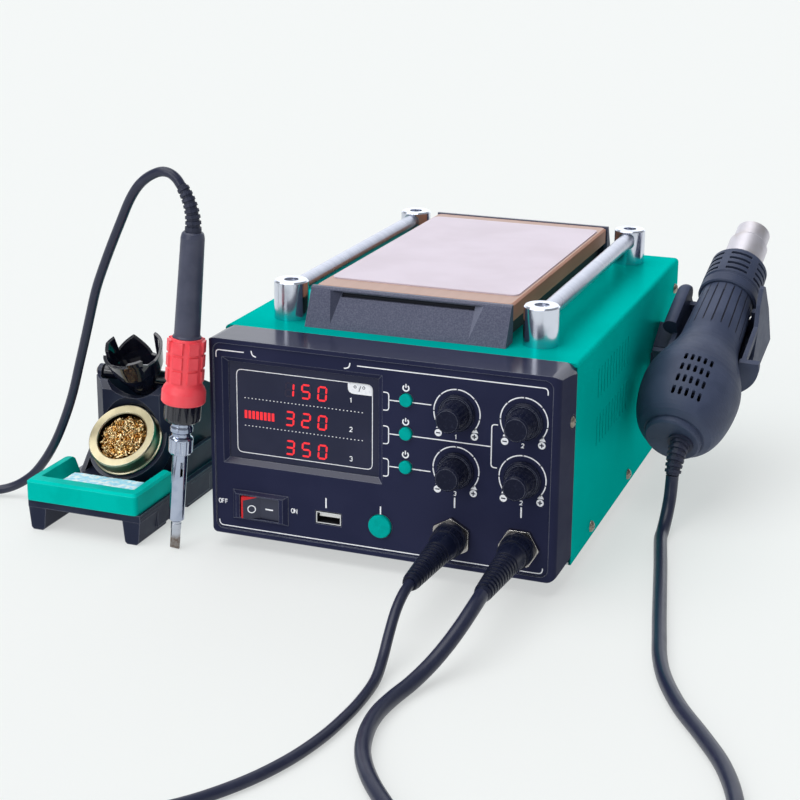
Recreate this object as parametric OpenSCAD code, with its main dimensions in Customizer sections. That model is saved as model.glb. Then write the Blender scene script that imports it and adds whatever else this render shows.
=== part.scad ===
// Rework station: a sheet metal case with a hot plate on top, a hot-air gun hung on its right side,
// and a soldering iron with its own stand on the left.
// Millimetres. X to the right, Y to the back, Z up. The origin is on the table under the middle of the case.

/* [Case] */
// Width of the case, left to right
body_w = 188; // [150:1:240]
// Depth of the case with its front moulding
body_d = 260; // [220:1:320]
// Height of the case without its feet
body_h = 105; // [90:1:150]
// Height of the rubber feet
foot_h = 8; // [5:0.5:15]
// Thickness of the sheet metal
sheet_t = 1.2; // [0.8:0.1:2]
// Depth of the front moulding
bezel_depth = 25; // [15:1:35]
// Thickness of the front wall
front_t = 3.4; // [2.4:0.1:4]
// How far each side of the front moulding tapers in
bezel_taper = 1.4; // [0:0.1:6]
// Corner radius of the front moulding
corner_r = 6; // [3:0.5:12]
// Length of a vent slit
slit_len = 16; // [8:1:24]
// Width of a vent slit
slit_w = 1.2; // [0.8:0.1:2]

/* [Display] */
// Width of the display surround
display_w = 86.8; // [60:0.2:90]
// Height of the display surround
display_h = 56.6; // [40:0.2:60]
// Width of the sloping edge round the display
display_edge = 2.6; // [2:0.1:6]

/* [Controls] */
// Diameter of a knob's skirt
knob_d = 18.6; // [14:0.2:22]
// Height of a knob
knob_h = 15; // [9:0.5:18]
// Diameter of a knob's spindle
spindle_d = 5.8; // [5:0.1:7]
// Diameter of a channel button
button_d = 6.6; // [5:0.2:10]
// Diameter of the pump button
pump_button_d = 12; // [9:0.5:14]
// How far the buttons stand out of the panel
button_proud = 1.6; // [1:0.1:3]
// Length of the rocker
rocker_l = 20; // [15:0.2:22]
// Angle of the rocker in its pressed place
rocker_tilt = 8; // [4:0.5:12]
// Distance across the corners of a socket nut
socket_nut_d = 21; // [18:0.5:24]
// Diameter of a socket's threaded ring
socket_d = 15; // [12:0.5:18]
// Length of a plug with its boot
plug_l = 57; // [45:1:70]

/* [Hot plate] */
// Width of the plate
plate_w = 107; // [80:1:120]
// Depth of the plate
plate_d = 192; // [150:1:200]
// Thickness of the plate
plate_t = 9; // [6:0.5:12]
// Gap between the case and the plate
plate_gap = 10.5; // [6:0.5:15]
// Height of the mat above the plate
mat_t = 0.7; // [0.4:0.1:2]
// Diameter of a post
post_d = 18.2; // [12:0.2:24]
// Height of a post
post_h = 20.4; // [16:0.2:30]
// Diameter of a rod
rod_d = 9; // [6:0.5:12]
// Distance between the two rods
rod_pitch = 136; // [125:1:150]

/* [Hot-air gun] */
// Length from the end face to the tip of the nozzle
gun_l = 170; // [155:1:190]
// Largest diameter of the body
gun_bulb_d = 55; // [48:1:60]
// Diameter of the neck under the collar
gun_neck_d = 30.8; // [26:0.2:34]
// Diameter of the collar
collar_d = 34.4; // [33:0.2:38]
// Diameter of the nozzle's tip
nozzle_d = 20; // [14:0.5:22]
// Wall of the gun's shell
gun_wall = 2.2; // [1.6:0.1:3]
// Angle that the gun leans back from upright
gun_lean = 59.7; // [50:0.1:65]

/* [Stand] */
// Width of the stand
stand_w = 68; // [60:1:80]
// Height of the stand's legs
leg_h = 13.5; // [10:0.5:20]
// Height of the front wall under the holder
tower_front_h = 64; // [60:1:70]
// Width of the tower
tower_w = 51; // [46:1:58]
// Wall of the stand's moulding
stand_wall = 2.5; // [2:0.1:3.5]
// Diameter of the tin
tin_d = 38.3; // [34:0.1:40]
// Angle that the tin leans back
tin_lean = 47; // [42:1:50]
// Height of the sponge tray
tray_h = 11.4; // [8:0.2:14]

/* [Soldering iron] */
// Diameter of the grip
grip_d = 18; // [16.6:0.2:20]
// Diameter of the handle where it leaves the grip
handle_d = 13.2; // [12:0.2:16]
// Diameter of the barrel
barrel_d = 7.9; // [7:0.1:9]
// Diameter of the tip
tip_d = 5.1; // [4:0.1:5.6]

/* [Hidden] */
$fn = 48;
eps = 0.01;
fit = 0.3;
slip = 0.2;
run = 0.05;

case_top = foot_h + body_h;
front_y = -body_d / 2;
back_y = body_d / 2;
bezel_back = front_y + bezel_depth;
wall_y = front_y + front_t;
panel_y = front_y + 0.8;
side_x = body_w / 2;
inner_x = side_x - sheet_t;
floor_z = foot_h + sheet_t;
board_y = front_y + 18;
mid_z = foot_h + body_h / 2;

// The controls' places are given for a front of this half width, and keep their proportion to it
drawn_half_w = 94;
across = side_x / drawn_half_w;
display_x = -41 * across;
display_z = case_top - 38;
window_w = display_w - 2 * display_edge;
window_h = display_h - 2 * display_edge;
lens_t = 1.5;

knob_cols = [41.2 * across, 75.2 * across];
knob_rows = [case_top - 23.8, case_top - 53.3];
bore_d = spindle_d + 2 * run;
bushing_d = 7.2;
channel_x = 15 * across;
channel_rows = [case_top - 20.7, case_top - 37.9, case_top - 55.4];
pump_x = 1.7 * across;
low_row_z = foot_h + 16.4;
switch_x = -64 * across;
switch_z = foot_h + 16.7;
usb_x = -26.4 * across;
usb_z = foot_h + 16.2;
socket_cols = [39.6 * across, 74.3 * across];

plate_z = case_top + plate_gap;
plate_top = plate_z + plate_t;
plate_y0 = front_y + 48;
plate_y1 = plate_y0 + plate_d;
cap_y0 = plate_y0 - 12.5;
mat_y0 = plate_y0 + 16;
mat_y1 = plate_y1 - 11.5;
post_y = [plate_y0 + 2.5, plate_y1 - 1];
rod_z = case_top + post_h - 5.9;

gun_at = [side_x + 27.7, -4.1, 43.8];
gun_turn = -5.6;
gun_roll = 15;
cap_d = 31.2;
bulb_s = 36;
neck_s = 77;
collar_s = 110.5;
collar_l = 30;
shell_end = collar_s + 5;
step_s = gun_l - 11;

stand_at = [-side_x - 65, front_y - 16, 0];
deck_z = leg_h + 3;
tower_y0 = 54;
tower_y1 = 112;
tin_mid = [0, 42.8, 43];
pivot_at = [0, 67, 70];
pivot_d = 3;
holder_lean = 27.2;

iron_at = [-side_x - 14, front_y - 11, 0.3];
iron_turn = [-2.1, 4.2, 0];

solder_cord_d = 5;
air_cord_d = 7;

// Iron's end of the soldering cord, from the boot over an arch and down to the table
solder_route_a = [
  [-102.7, -132.8, 189.9], [-105.3, -132.3, 193], [-108.9, -131.9, 195.3], [-113.3, -131.5, 195.9],
  [-117.9, -131, 194.6], [-123.6, -130.2, 191.4], [-129, -129.3, 186.6], [-134.6, -128, 179],
  [-140.4, -126.3, 168.6], [-147.6, -124, 155.4], [-154.6, -121.8, 141.8], [-160.8, -119.9, 128.4],
  [-166.8, -117.6, 111.8], [-172.4, -114.8, 97], [-177.6, -112.6, 83], [-183.2, -111, 66.6],
  [-189.4, -109.8, 51.6], [-197, -108.7, 36.4], [-205.8, -108, 23], [-215.8, -107.9, 12.2],
  [-229, -110, 4.8], [-246, -116.2, 2.5], [-266, -126.4, 2.5], [-287.4, -140.2, 2.5]
];
// Station's end of the soldering cord, from the plug to the table, round the front and to the coil
solder_route_b = [
  [39.6, -188.4, 24.4], [39.6, -198, 22.8], [39.9, -208, 18.8], [40.9, -219, 12.4],
  [42.6, -231, 6.4], [44.4, -244, 3.2], [45, -260, 2.5], [44.4, -277, 2.5], [41.8, -298, 2.5],
  [36, -320, 2.5], [26, -342, 2.5], [11, -363, 2.5], [-9, -380, 2.5], [-34, -391, 2.5],
  [-61, -394, 2.5], [-87, -388, 2.5], [-110, -374, 2.5], [-131, -354, 2.5], [-150, -331, 2.5],
  [-167, -306, 2.5], [-183, -281, 2.5], [-199, -256, 2.5], [-216, -232, 2.5], [-236, -209, 2.6],
  [-255, -195, 4.8], [-272, -190.5, 7.5]
];
// Gun's end of the hot-air cord, from the boot to the table and off to the coil
air_route_a = [
  [125.5, -16.5, 28.9], [125.5, -17.4, 24.8], [125.5, -19.8, 17.6], [125.4, -24, 11.6],
  [125.5, -29.8, 7.2], [125.8, -36.6, 4.4], [126.4, -44, 3.5], [129.8, -60, 3.5], [134, -79, 3.5],
  [138.2, -99, 3.5], [142.4, -119, 3.5], [146.6, -139, 3.5], [151, -159, 3.5], [155.6, -179, 3.5],
  [162.4, -199, 3.5], [173.4, -221, 3.5], [186.8, -241.4, 3.5], [199.4, -262.6, 3.5],
  [208.6, -287, 3.5], [213, -313, 3.5], [213.5, -342, 3.5], [213.5, -372, 3.5]
];
// Station's end of the hot-air cord, from the plug to the table and off to the coil
air_route_b = [
  [74.3, -188.4, 24.4], [74, -199, 22.8], [72.2, -210, 18.6], [69.2, -221, 13.4],
  [65.2, -232, 8.2], [61, -244, 4.6], [57.6, -257, 3.5], [56.2, -272, 3.5], [57.8, -288, 3.5],
  [63, -305, 3.5], [73, -322, 3.5], [88, -340, 3.5], [107, -360, 3.8], [127.4, -379.6, 6.4],
  [147.8, -399.2, 10.5]
];
solder_coil_at = [-272, -163, 0];
air_coil_at = [175, -372, 0];
solder_coil_d = 11 * solder_cord_d;
air_coil_d = 11 * air_cord_d;

// Shared shapes

// A plate outline with round corners, centred
module round_rect(w, h, r) {
  square([w - 2 * r, h], center = true);
  square([w, h - 2 * r], center = true);
  for (x = [-1, 1], y = [-1, 1])
    translate([x * (w / 2 - r), y * (h / 2 - r)])
      circle(r);
}

// Stands a flat X and Z outline up and gives it a depth from y0 to y1
module front_to_back(y0, y1) {
  translate([0, y1, 0])
    rotate([90, 0, 0])
      linear_extrude(y1 - y0)
        children();
}

// A round bar along Y from y0 to y1
module bar_y(x, z, y0, y1, d) {
  translate([x, y0, z])
    rotate([-90, 0, 0])
      cylinder(h = y1 - y0, d = d);
}

// A block between two corners
module block(low, high) {
  translate(low)
    cube(high - low);
}

// Turns the Z axis to a direction
module point_to(v) {
  rotate([0, acos(v.z / norm(v)), atan2(v.y, v.x)])
    children();
}

function unit(v) = v / norm(v);
function tangent(p, i) = unit(p[min(i + 1, len(p) - 1)] - p[max(i - 1, 0)]);
function carried(n, t) = unit(n - (n * t) * t);
function normals(p, i = 0, n = [0.2, 0.9, 0.1]) =
  i == len(p) ? [] : let(m = carried(n, tangent(p, i))) concat([m], normals(p, i + 1, m));

// A closed tube along points, with a radius for each point
module tube_along(p, radii, sides = 10) {
  ns = normals(p);
  last = len(p) - 1;
  points = [
    for (i = [0:last], k = [0:sides - 1])
      let(t = tangent(p, i), b = cross(t, ns[i]), a = 360 * k / sides)
        p[i] + radii[i] * (cos(a) * ns[i] + sin(a) * b)
  ];
  side_faces = [
    for (i = [0:last - 1], k = [0:sides - 1])
      let(j = (k + 1) % sides)
        [i * sides + k, (i + 1) * sides + k, (i + 1) * sides + j, i * sides + j]
  ];
  first_face = [for (k = [0:sides - 1]) k];
  last_face = [for (k = [sides - 1:-1:0]) last * sides + k];
  polyhedron(points = points, faces = concat([first_face], side_faces, [last_face]));
}

module cord_tube(p, d) {
  tube_along(p, [for (q = p) d / 2], 10);
}

// Points along an arc that leaves start along dir and bends towards side
function arc_point(start, dir, side, angle, length, f) =
  start + length / (angle * PI / 180) * (sin(f * angle) * dir + (1 - cos(f * angle)) * side);

// A ribbed rubber boot along such an arc
module ribbed_boot(start, dir, side, angle, length, d1, d2, ribs) {
  steps = [
    for (i = [0:ribs - 1], e = [[0, 1], [0.55, 1], [0.58, 0.82], [0.97, 0.82]])
      [(i + e[0]) / ribs, e[1]]
  ];
  points = [for (s = steps) arc_point(start, dir, side, angle, length, s[0])];
  radii = [for (s = steps) (d1 + (d2 - d1) * s[0]) / 2 * s[1]];
  tube_along(points, radii, 12);
}

// Case

module case_outline(inset) {
  w = body_w - 2 * inset;
  h = body_h - inset;
  r = 2.5 - inset / 2;
  translate([0, foot_h + (h - r) / 2])
    square([w, h - r], center = true);
  translate([0, foot_h + h / 2])
    square([w - 2 * r, h], center = true);
  for (x = [-1, 1])
    translate([x * (w / 2 - r), foot_h + h - r])
      circle(r);
}

// Two blocks of slits on each side
module side_slits() {
  for (i = [0:10], low = [foot_h + 48.5, foot_h + 74])
    translate([-side_x - 1, -62 + i * 6.4, low])
      cube([body_w + 2, slit_w, slit_len]);
}

bezel_screw = [bezel_back - 4.5, foot_h + 76.7];
bezel_seat_x = side_x - 1;
base_screws = [[-66, foot_h + 6], [15.7, foot_h + 6]];
rear_screw = [back_y - 8, foot_h + 88];
cover_screws = concat(base_screws, [rear_screw]);
holder_plate_y = [62, 110];
holder_plate_z = [foot_h + 20, foot_h + 64];
holder_screws = [for (y = [holder_plate_y[0] + 7, holder_plate_y[1] - 7]) [y, holder_plate_z[0] + 7]];

module case_cover() {
  color([0, 0.56, 0.48])
    difference() {
      front_to_back(bezel_back, back_y)
        case_outline(0);
      front_to_back(bezel_back - 1, back_y + 1)
        case_outline(sheet_t);
      block([-inner_x, bezel_back - 1, foot_h - 1], [inner_x, back_y + 1, foot_h + 3]);
      side_slits();
      // opening under the plate for its leads
      block([-40, plate_y0 + 20, case_top - 5], [40, plate_y1 - 20, case_top + 1]);
      for (x = [-1, 1] * rod_pitch / 2, y = post_y)
        translate([x, y, case_top - 5])
          cylinder(h = 10, d = 4.4);
      for (s = cover_screws, x = [-side_x - 1, side_x - 4])
        translate([x, s[0], s[1]])
          rotate([0, 90, 0])
            cylinder(h = 5, d = 3.4);
      for (s = holder_screws)
        translate([side_x - 4, s[0], s[1]])
          rotate([0, 90, 0])
            cylinder(h = 5, d = 3.6);
    }
}

module case_base() {
  color([0.72, 0.74, 0.75])
    difference() {
      union() {
        block([-inner_x, bezel_back + 0.2, foot_h], [inner_x, back_y - 2, floor_z]);
        for (m = [0, 1])
          mirror([m, 0, 0])
            block([inner_x - sheet_t, bezel_back + 7, floor_z - eps], [inner_x, back_y - 3.4, floor_z + 12]);
      }
      for (x = [-60:10:60])
        block([x, 20, foot_h - 1], [x + 3, 90, floor_z + 1]);
      for (s = base_screws, x = [-side_x, side_x - 5])
        translate([x, s[0], s[1]])
          rotate([0, 90, 0])
            cylinder(h = 5, d = 3.2);
    }
}

inlet_x = -55;
inlet_z = foot_h + 30;
inlet_w = 27.4;
inlet_h = 20;

module rear_panel() {
  color([0, 0.5, 0.43])
    difference() {
      union() {
        block(
          [-inner_x + slip, back_y - 3.2, floor_z],
          [inner_x - slip, back_y - 2, case_top - sheet_t - slip]
        );
        // tabs that the cover's rear screws go into
        for (m = [0, 1])
          mirror([m, 0, 0])
            block([inner_x - slip - sheet_t, back_y - 14, rear_screw[1] - 6],
               [inner_x - slip, back_y - 3.2 + eps, rear_screw[1] + 6]);
      }
      for (x = [-side_x, side_x - 5])
        translate([x, rear_screw[0], rear_screw[1]])
          rotate([0, 90, 0])
            cylinder(h = 5, d = 3.2);
      translate([inlet_x, back_y, inlet_z])
        cube([inlet_w + 2 * slip, 20, inlet_h + 2 * slip], center = true);
      for (i = [0:12], z = [foot_h + 20, foot_h + 58])
        block([4 + i * 6, back_y - 5, z], [6 + i * 6, back_y, z + 26]);
    }
}

// Side walls of the front moulding lean in towards the front, and its edges are round
module bezel_plan() {
  tip = side_x - bezel_taper;
  r = 4;
  polygon([[-side_x, bezel_back], [-tip, front_y + r], [tip, front_y + r], [side_x, bezel_back]]);
  translate([-tip + r, front_y])
    square([2 * (tip - r), r + 1]);
  for (x = [-1, 1])
    translate([x * (tip - r), front_y + r])
      circle(r);
}

module bezel_body() {
  intersection() {
    front_to_back(front_y, bezel_back)
      translate([0, mid_z])
        round_rect(body_w, body_h, corner_r);
    translate([0, 0, foot_h - 1])
      linear_extrude(body_h + 2)
        bezel_plan();
  }
}

// The sloping recess round the display, wider at the front
module display_recess() {
  hull() {
    translate([display_x, panel_y - 1, display_z])
      cube([display_w, eps, display_h], center = true);
    translate([display_x, panel_y, display_z])
      cube([display_w, eps, display_h], center = true);
    translate([display_x, wall_y - 0.4, display_z])
      cube([window_w, eps, window_h], center = true);
  }
}

module front_bezel() {
  color([0.05, 0.055, 0.09])
    difference() {
      union() {
        bezel_body();
        // rear lip that the cover slides over
        difference() {
          block([-inner_x + slip, bezel_back - 1, floor_z + slip],
             [inner_x - slip, bezel_back + 6, case_top - sheet_t - slip - 1.3]);
          block([-inner_x + 2.4, bezel_back - 2, floor_z + 2.4],
             [inner_x - 2.4, bezel_back + 7, case_top - sheet_t - 3.6]);
        }
      }
      // hollow behind the front wall
      front_to_back(wall_y, bezel_back + eps)
        translate([0, mid_z])
          round_rect(body_w - 2 * bezel_taper - 6, body_h - 6, 4);
      // the face that carries the controls is set in a little
      front_to_back(front_y - 1, panel_y)
        translate([0, mid_z])
          round_rect(body_w - 10, body_h - 5, 4);
      display_recess();
      translate([display_x, wall_y, display_z])
        cube([window_w, 6, window_h], center = true);
      translate([switch_x, wall_y, switch_z])
        cube([frame_body_w + 0.6, 10, frame_body_h + 0.4], center = true);
      translate([usb_x, wall_y, usb_z])
        cube([14.2, 10, 7], center = true);
      bar_y(pump_x, low_row_z, front_y - 1, wall_y + 1, pump_button_d + 2 * fit);
      for (z = channel_rows)
        bar_y(channel_x, z, front_y - 1, wall_y + 1, button_d + 2 * fit);
      for (x = knob_cols, z = knob_rows)
        bar_y(x, z, front_y - 1, wall_y + 1, bushing_d + 2 * slip);
      for (x = socket_cols)
        bar_y(x, low_row_z, front_y - 1, wall_y + 1, socket_d);
      // flat seats and holes of the side screws
      for (m = [0, 1])
        mirror([m, 0, 0])
          translate([bezel_seat_x, bezel_screw.x, bezel_screw.y])
            rotate([0, 90, 0]) {
              cylinder(h = 4, d = 7.4);
              translate([0, 0, -8])
                cylinder(h = 10, d = 3.1);
            }
    }
}

module display_lens() {
  color([0.12, 0.1, 0.12, 0.6])
    translate([display_x, wall_y + lens_t / 2, display_z])
      cube([window_w + 5, lens_t, window_h + 5], center = true);
}

digit_rows = [display_z + 15.3, display_z, display_z - 15.5];

// Circuit board behind the front wall with the digit blocks, the control parts and the push switches
module front_board() {
  lens_back = wall_y + lens_t;
  color([0.1, 0.3, 0.16])
    difference() {
      block([-inner_x + 8, board_y, foot_h + 8], [inner_x - 8, board_y + 1.6, case_top - 8]);
      for (x = socket_cols)
        bar_y(x, low_row_z, board_y - 1, board_y + 3, socket_d + 2);
      for (x = [-1, 1], z = [foot_h + 13, case_top - 12])
        bar_y(x * (inner_x - 12), z, board_y - 1, board_y + 3, 3.2);
      block([switch_x - 15, board_y - 1, foot_h + 7], [switch_x + 15, board_y + 3, switch_z + 8]);
    }
  color([0.12, 0.12, 0.13]) {
    for (z = digit_rows)
      block([display_x - 11, lens_back + 0.2, z - 6.4], [display_x + 17, board_y + eps, z + 6.4]);
    block([display_x - 34, lens_back + 0.2, display_z - 4], [display_x - 14, board_y + eps, display_z + 3]);
    // pieces that the knobs turn, with their threaded necks
    for (x = knob_cols, z = knob_rows)
      difference() {
        union() {
          bar_y(x, z, board_y - 8, board_y + eps, 16);
          bar_y(x, z, panel_y - 1.6, board_y - 8 + eps, bushing_d);
        }
        bar_y(x, z, panel_y - 3, board_y - 3, bore_d);
      }
    for (z = channel_rows)
      translate([channel_x, board_y - 1.5, z])
        cube([6, 3 + eps, 6], center = true);
    translate([pump_x, board_y - 1.25, low_row_z])
      cube([10, 2.5 + eps, 10], center = true);
  }
}

frame_w = 31.2;
frame_h = 16.2;
frame_body_w = 26.8;
frame_body_h = 13.4;
slot_w = rocker_l + 1.8;
slot_h = 12;
rocker_axis_y = front_y + 2.6;
rocker_pin_d = 2.6;

module switch_frame() {
  color([0.06, 0.06, 0.07])
    difference() {
      union() {
        // rim with four sloping sides
        hull() {
          translate([switch_x, panel_y - eps, switch_z])
            cube([frame_w, 2 * eps, frame_h], center = true);
          translate([switch_x, panel_y - 2.2, switch_z])
            cube([frame_w - 5, 2 * eps, frame_h - 3], center = true);
        }
        translate([switch_x, (panel_y + board_y) / 2 + 2.5, switch_z])
          cube([frame_body_w, board_y - panel_y + 5, frame_body_h], center = true);
        for (x = [-7, 0, 7])
          translate([switch_x + x, board_y + 8, switch_z])
            cube([0.8, 8, 4.8], center = true);
      }
      block([switch_x - slot_w / 2, panel_y - 4, switch_z - slot_h / 2],
         [switch_x + slot_w / 2, board_y - 2, switch_z + slot_h / 2]);
      translate([switch_x, rocker_axis_y, switch_z])
        cylinder(h = slot_h + 0.8, d = rocker_pin_d + 2 * run, center = true, $fn = 24);
    }
}

// The rocker is a shallow V across its length, and rests pressed in at its right end
module switch_rocker() {
  h = slot_h - 2 * slip;
  color([0.75, 0.06, 0.05])
    translate([switch_x, rocker_axis_y, switch_z])
      rotate([0, 0, rocker_tilt])
        union() {
          translate([0, 0, -h / 2])
            linear_extrude(h)
              polygon([
                [-rocker_l / 2, -4.4], [0, -2.4], [rocker_l / 2, -4.4],
                [rocker_l / 2, -2.2], [4, 5], [-4, 5], [-rocker_l / 2, -2.2]
              ]);
          cylinder(h = h + 0.6, d = rocker_pin_d, center = true, $fn = 24);
        }
}

module usb_socket() {
  w = 13.4;
  h = 6;
  translate([usb_x, panel_y, usb_z]) {
    color([0.75, 0.76, 0.78])
      difference() {
        translate([-w / 2, 0, -h / 2])
          cube([w, board_y - panel_y, h]);
        translate([-w / 2 + 0.4, -1, -h / 2 + 0.4])
          cube([w - 0.8, 13, h - 0.8]);
      }
    color([0.9, 0.9, 0.9])
      translate([-5.6, 2, 0.1])
        cube([11.2, 10 + eps, 1.9]);
  }
}

// A push button with a nearly flat face, a flange behind the wall and a stem
module push_button(x, z, d, stem_end) {
  color([0, 0.6, 0.5])
    union() {
      translate([x, panel_y - button_proud, z])
        rotate([-90, 0, 0])
          rotate_extrude()
            polygon([
              [0, -0.15], [d / 4, -0.12], [d / 2 - 0.4, 0], [d / 2, 0.4],
              [d / 2, wall_y + 1 - panel_y + button_proud], [0, wall_y + 1 - panel_y + button_proud]
            ]);
      bar_y(x, z, wall_y + 0.4, wall_y + 1.4, d + 2.4);
      bar_y(x, z, wall_y + 1, stem_end, 4);
    }
}

module channel_button(row) {
  push_button(channel_x, channel_rows[row], button_d, board_y - 4.4);
}

module preheat_button() {
  channel_button(0);
}

module air_button() {
  channel_button(1);
}

module solder_button() {
  channel_button(2);
}

module pump_button() {
  push_button(pump_x, low_row_z, pump_button_d, board_y - 4.2);
}

flutes = 18;

// A fluted knob on a thin skirt, with its spindle in the threaded neck behind it
module knob(x, z) {
  base_r = knob_d / 2 - 1.3;
  top_r = base_r - 1.8;
  skirt_t = 2.4;
  color([0.03, 0.03, 0.035])
    translate([x, panel_y, z])
      rotate([90, 0, 0])
        union() {
          difference() {
            union() {
              rotate_extrude()
                polygon([
                  [0, 0.6], [knob_d / 2 - 0.5, 0.6], [knob_d / 2, 1.1], [knob_d / 2, 2],
                  [knob_d / 2 - 0.9, 0.6 + skirt_t], [0, 0.6 + skirt_t]
                ]);
              cylinder(h = knob_h - 1, r1 = base_r, r2 = top_r);
              translate([0, 0, knob_h - 1 - eps])
                cylinder(h = 1, r1 = top_r, r2 = top_r - 0.8);
            }
            translate([0, 0, -1])
              cylinder(h = 3, d = bushing_d + 2 * fit);
            for (i = [0:flutes - 1])
              rotate([0, 0, 360 * i / flutes])
                translate([base_r + 0.3, 0, 0.6 + skirt_t])
                  rotate([0, -atan((base_r - top_r) / (knob_h - 1)), 0])
                    cylinder(h = knob_h + 2, r = 0.75, $fn = 16);
          }
          translate([0, 0, -(board_y - 4 - panel_y)])
            cylinder(h = board_y - 4 - panel_y + 3, d = spindle_d);
        }
}

module preheat_knob() {
  knob(knob_cols[0], knob_rows[0]);
}

module air_volume_knob() {
  knob(knob_cols[1], knob_rows[0]);
}

module solder_knob() {
  knob(knob_cols[0], knob_rows[1]);
}

module air_heat_knob() {
  knob(knob_cols[1], knob_rows[1]);
}

nut_t = 2.4;
socket_bore_d = socket_d - 2.9;

// Round sockets held by a hexagon nut in front of the panel
module cord_sockets() {
  color([0.8, 0.81, 0.8])
    for (i = [0, 1])
      translate([socket_cols[i], panel_y, low_row_z])
        rotate([90, 0, 0])
          difference() {
            union() {
              rotate([0, 0, i == 0 ? 30 : 0])
                intersection() {
                  cylinder(h = nut_t, d = socket_nut_d, $fn = 6);
                  cylinder(h = nut_t + 1, d1 = socket_nut_d + 2, d2 = socket_nut_d - 2);
                }
              translate([0, 0, -14])
                cylinder(h = 14 + nut_t + 4, d = socket_d - 0.4);
              translate([0, 0, -front_t + 0.8 - 2])
                cylinder(h = 2, d = socket_d + 4);
            }
            translate([0, 0, nut_t - 4])
              cylinder(h = 12, d = socket_bore_d);
          }
}

// A round plug: a ribbed coupling ring, a body and a ribbed rubber boot
module cord_plug(x) {
  ring_l = 9;
  boot_l = plug_l - ring_l - 2;
  ribs = 11;
  rib_p = (boot_l - 10) / ribs;
  color([0.04, 0.04, 0.05])
    translate([x, panel_y - nut_t - 0.3, low_row_z])
      rotate([90, 0, 0])
        union() {
          difference() {
            union() {
              cylinder(h = 3, d = socket_d + 2.4);
              cylinder(h = ring_l, d = socket_d + 1.2);
            }
            translate([0, 0, -1])
              cylinder(h = 5.5, d = socket_d + 0.2);
            for (i = [0:23])
              rotate([0, 0, 15 * i])
                translate([socket_d / 2 + 0.9, 0, 4])
                  cylinder(h = 4, r = 0.5, $fn = 12);
          }
          translate([0, 0, -4])
            cylinder(h = 12, d = socket_bore_d - 0.4);
          translate([0, 0, ring_l - eps])
            rotate_extrude()
              polygon(concat(
                [[0, 0], [7.2, 0], [7.4, 1], [6.9, 2.2], [6.5, 10]],
                [
                  for (i = [0:ribs - 1], e = [[0, 0], [0.5, 0], [0.55, 0.7], [0.95, 0.7]])
                    [6.5 - 2.2 * (i + e[0]) / ribs - e[1], 10 + (i + e[0]) * rib_p]
                ],
                [[4.2, boot_l], [3.6, boot_l + 2], [0, boot_l + 2]]
              ));
        }
}

module solder_plug() {
  cord_plug(socket_cols[0]);
}

module air_plug() {
  cord_plug(socket_cols[1]);
}

// Hot plate

module plate_support() {
  color([0.05, 0.05, 0.055])
    difference() {
      block([-plate_w / 2 + 4.5, plate_y0 + 1, case_top], [plate_w / 2 - 4.5, plate_y1 - 1, plate_z]);
      block([-plate_w / 2 + 9, plate_y0 + 6, case_top - 1], [plate_w / 2 - 9, plate_y1 - 6, plate_z + 1]);
    }
}

module heater_plate() {
  r = 2.5;
  y_mid = (plate_y0 + plate_y1) / 2;
  color([0.62, 0.4, 0.27])
    difference() {
      union() {
        translate([0, y_mid, plate_z])
          linear_extrude(plate_t - 1)
            round_rect(plate_w, plate_d, r);
        hull() {
          translate([0, y_mid, plate_top - 1 - eps])
            linear_extrude(eps)
              round_rect(plate_w, plate_d, r);
          translate([0, y_mid, plate_top - eps])
            linear_extrude(eps)
              round_rect(plate_w - 2, plate_d - 2, r);
        }
      }
      // channels for the heating rods, open at the rear
      for (x = [-36, -12, 12, 36])
        bar_y(x, plate_z + plate_t / 2, plate_y0 + 20, plate_y1 + 1, 5);
    }
}

module plate_mat() {
  color([0.9, 0.84, 0.84])
    translate([0, (mat_y0 + mat_y1) / 2, plate_top])
      linear_extrude(mat_t)
        round_rect(plate_w - 4.6, mat_y1 - mat_y0, 4);
}

// Sloping cover at the front end of the plate, with a slot and a set-in middle between two flat triangles
module plate_front_cap() {
  half = plate_w / 2 + 0.6;
  top = plate_top + 0.2;
  lip_y = plate_y0 - 3;
  color([0.22, 0.23, 0.26])
    difference() {
      translate([half, 0, 0])
        rotate([0, -90, 0])
          linear_extrude(2 * half)
            polygon([
              [case_top, cap_y0], [top - 0.8, lip_y - 0.4], [top, lip_y + 0.6],
              [top, plate_y0 - fit], [case_top, plate_y0 - fit]
            ]);
      // hollow from below, closed towards the plate
      translate([half - 2.2, 0, 0])
        rotate([0, -90, 0])
          linear_extrude(2 * half - 4.4)
            polygon([
              [case_top - 1, cap_y0 + 5], [top - 3, lip_y + 1.2],
              [top - 3, plate_y0 - 1.3], [case_top - 1, plate_y0 - 1.3]
            ]);
      // the middle leans back more than the rest
      polyhedron(
        points = [
          [-40.8, cap_y0 - 0.05, case_top + 0.5], [34.3, cap_y0 - 0.05, case_top + 0.5],
          [-45.2, lip_y - 1.4, top - 1.4], [41.2, lip_y - 1.4, top - 1.4],
          [-37.2, lip_y + 1.6, top - 1.4], [34.8, lip_y + 1.6, top - 1.4]
        ],
        faces = [[0, 2, 3, 1], [0, 4, 2], [1, 3, 5], [2, 4, 5, 3], [0, 1, 5, 4]]
      );
      block([-37.4, cap_y0, top - 4.6], [34.6, plate_y0 - 1.5, top - 2.4]);
    }
}

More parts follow.
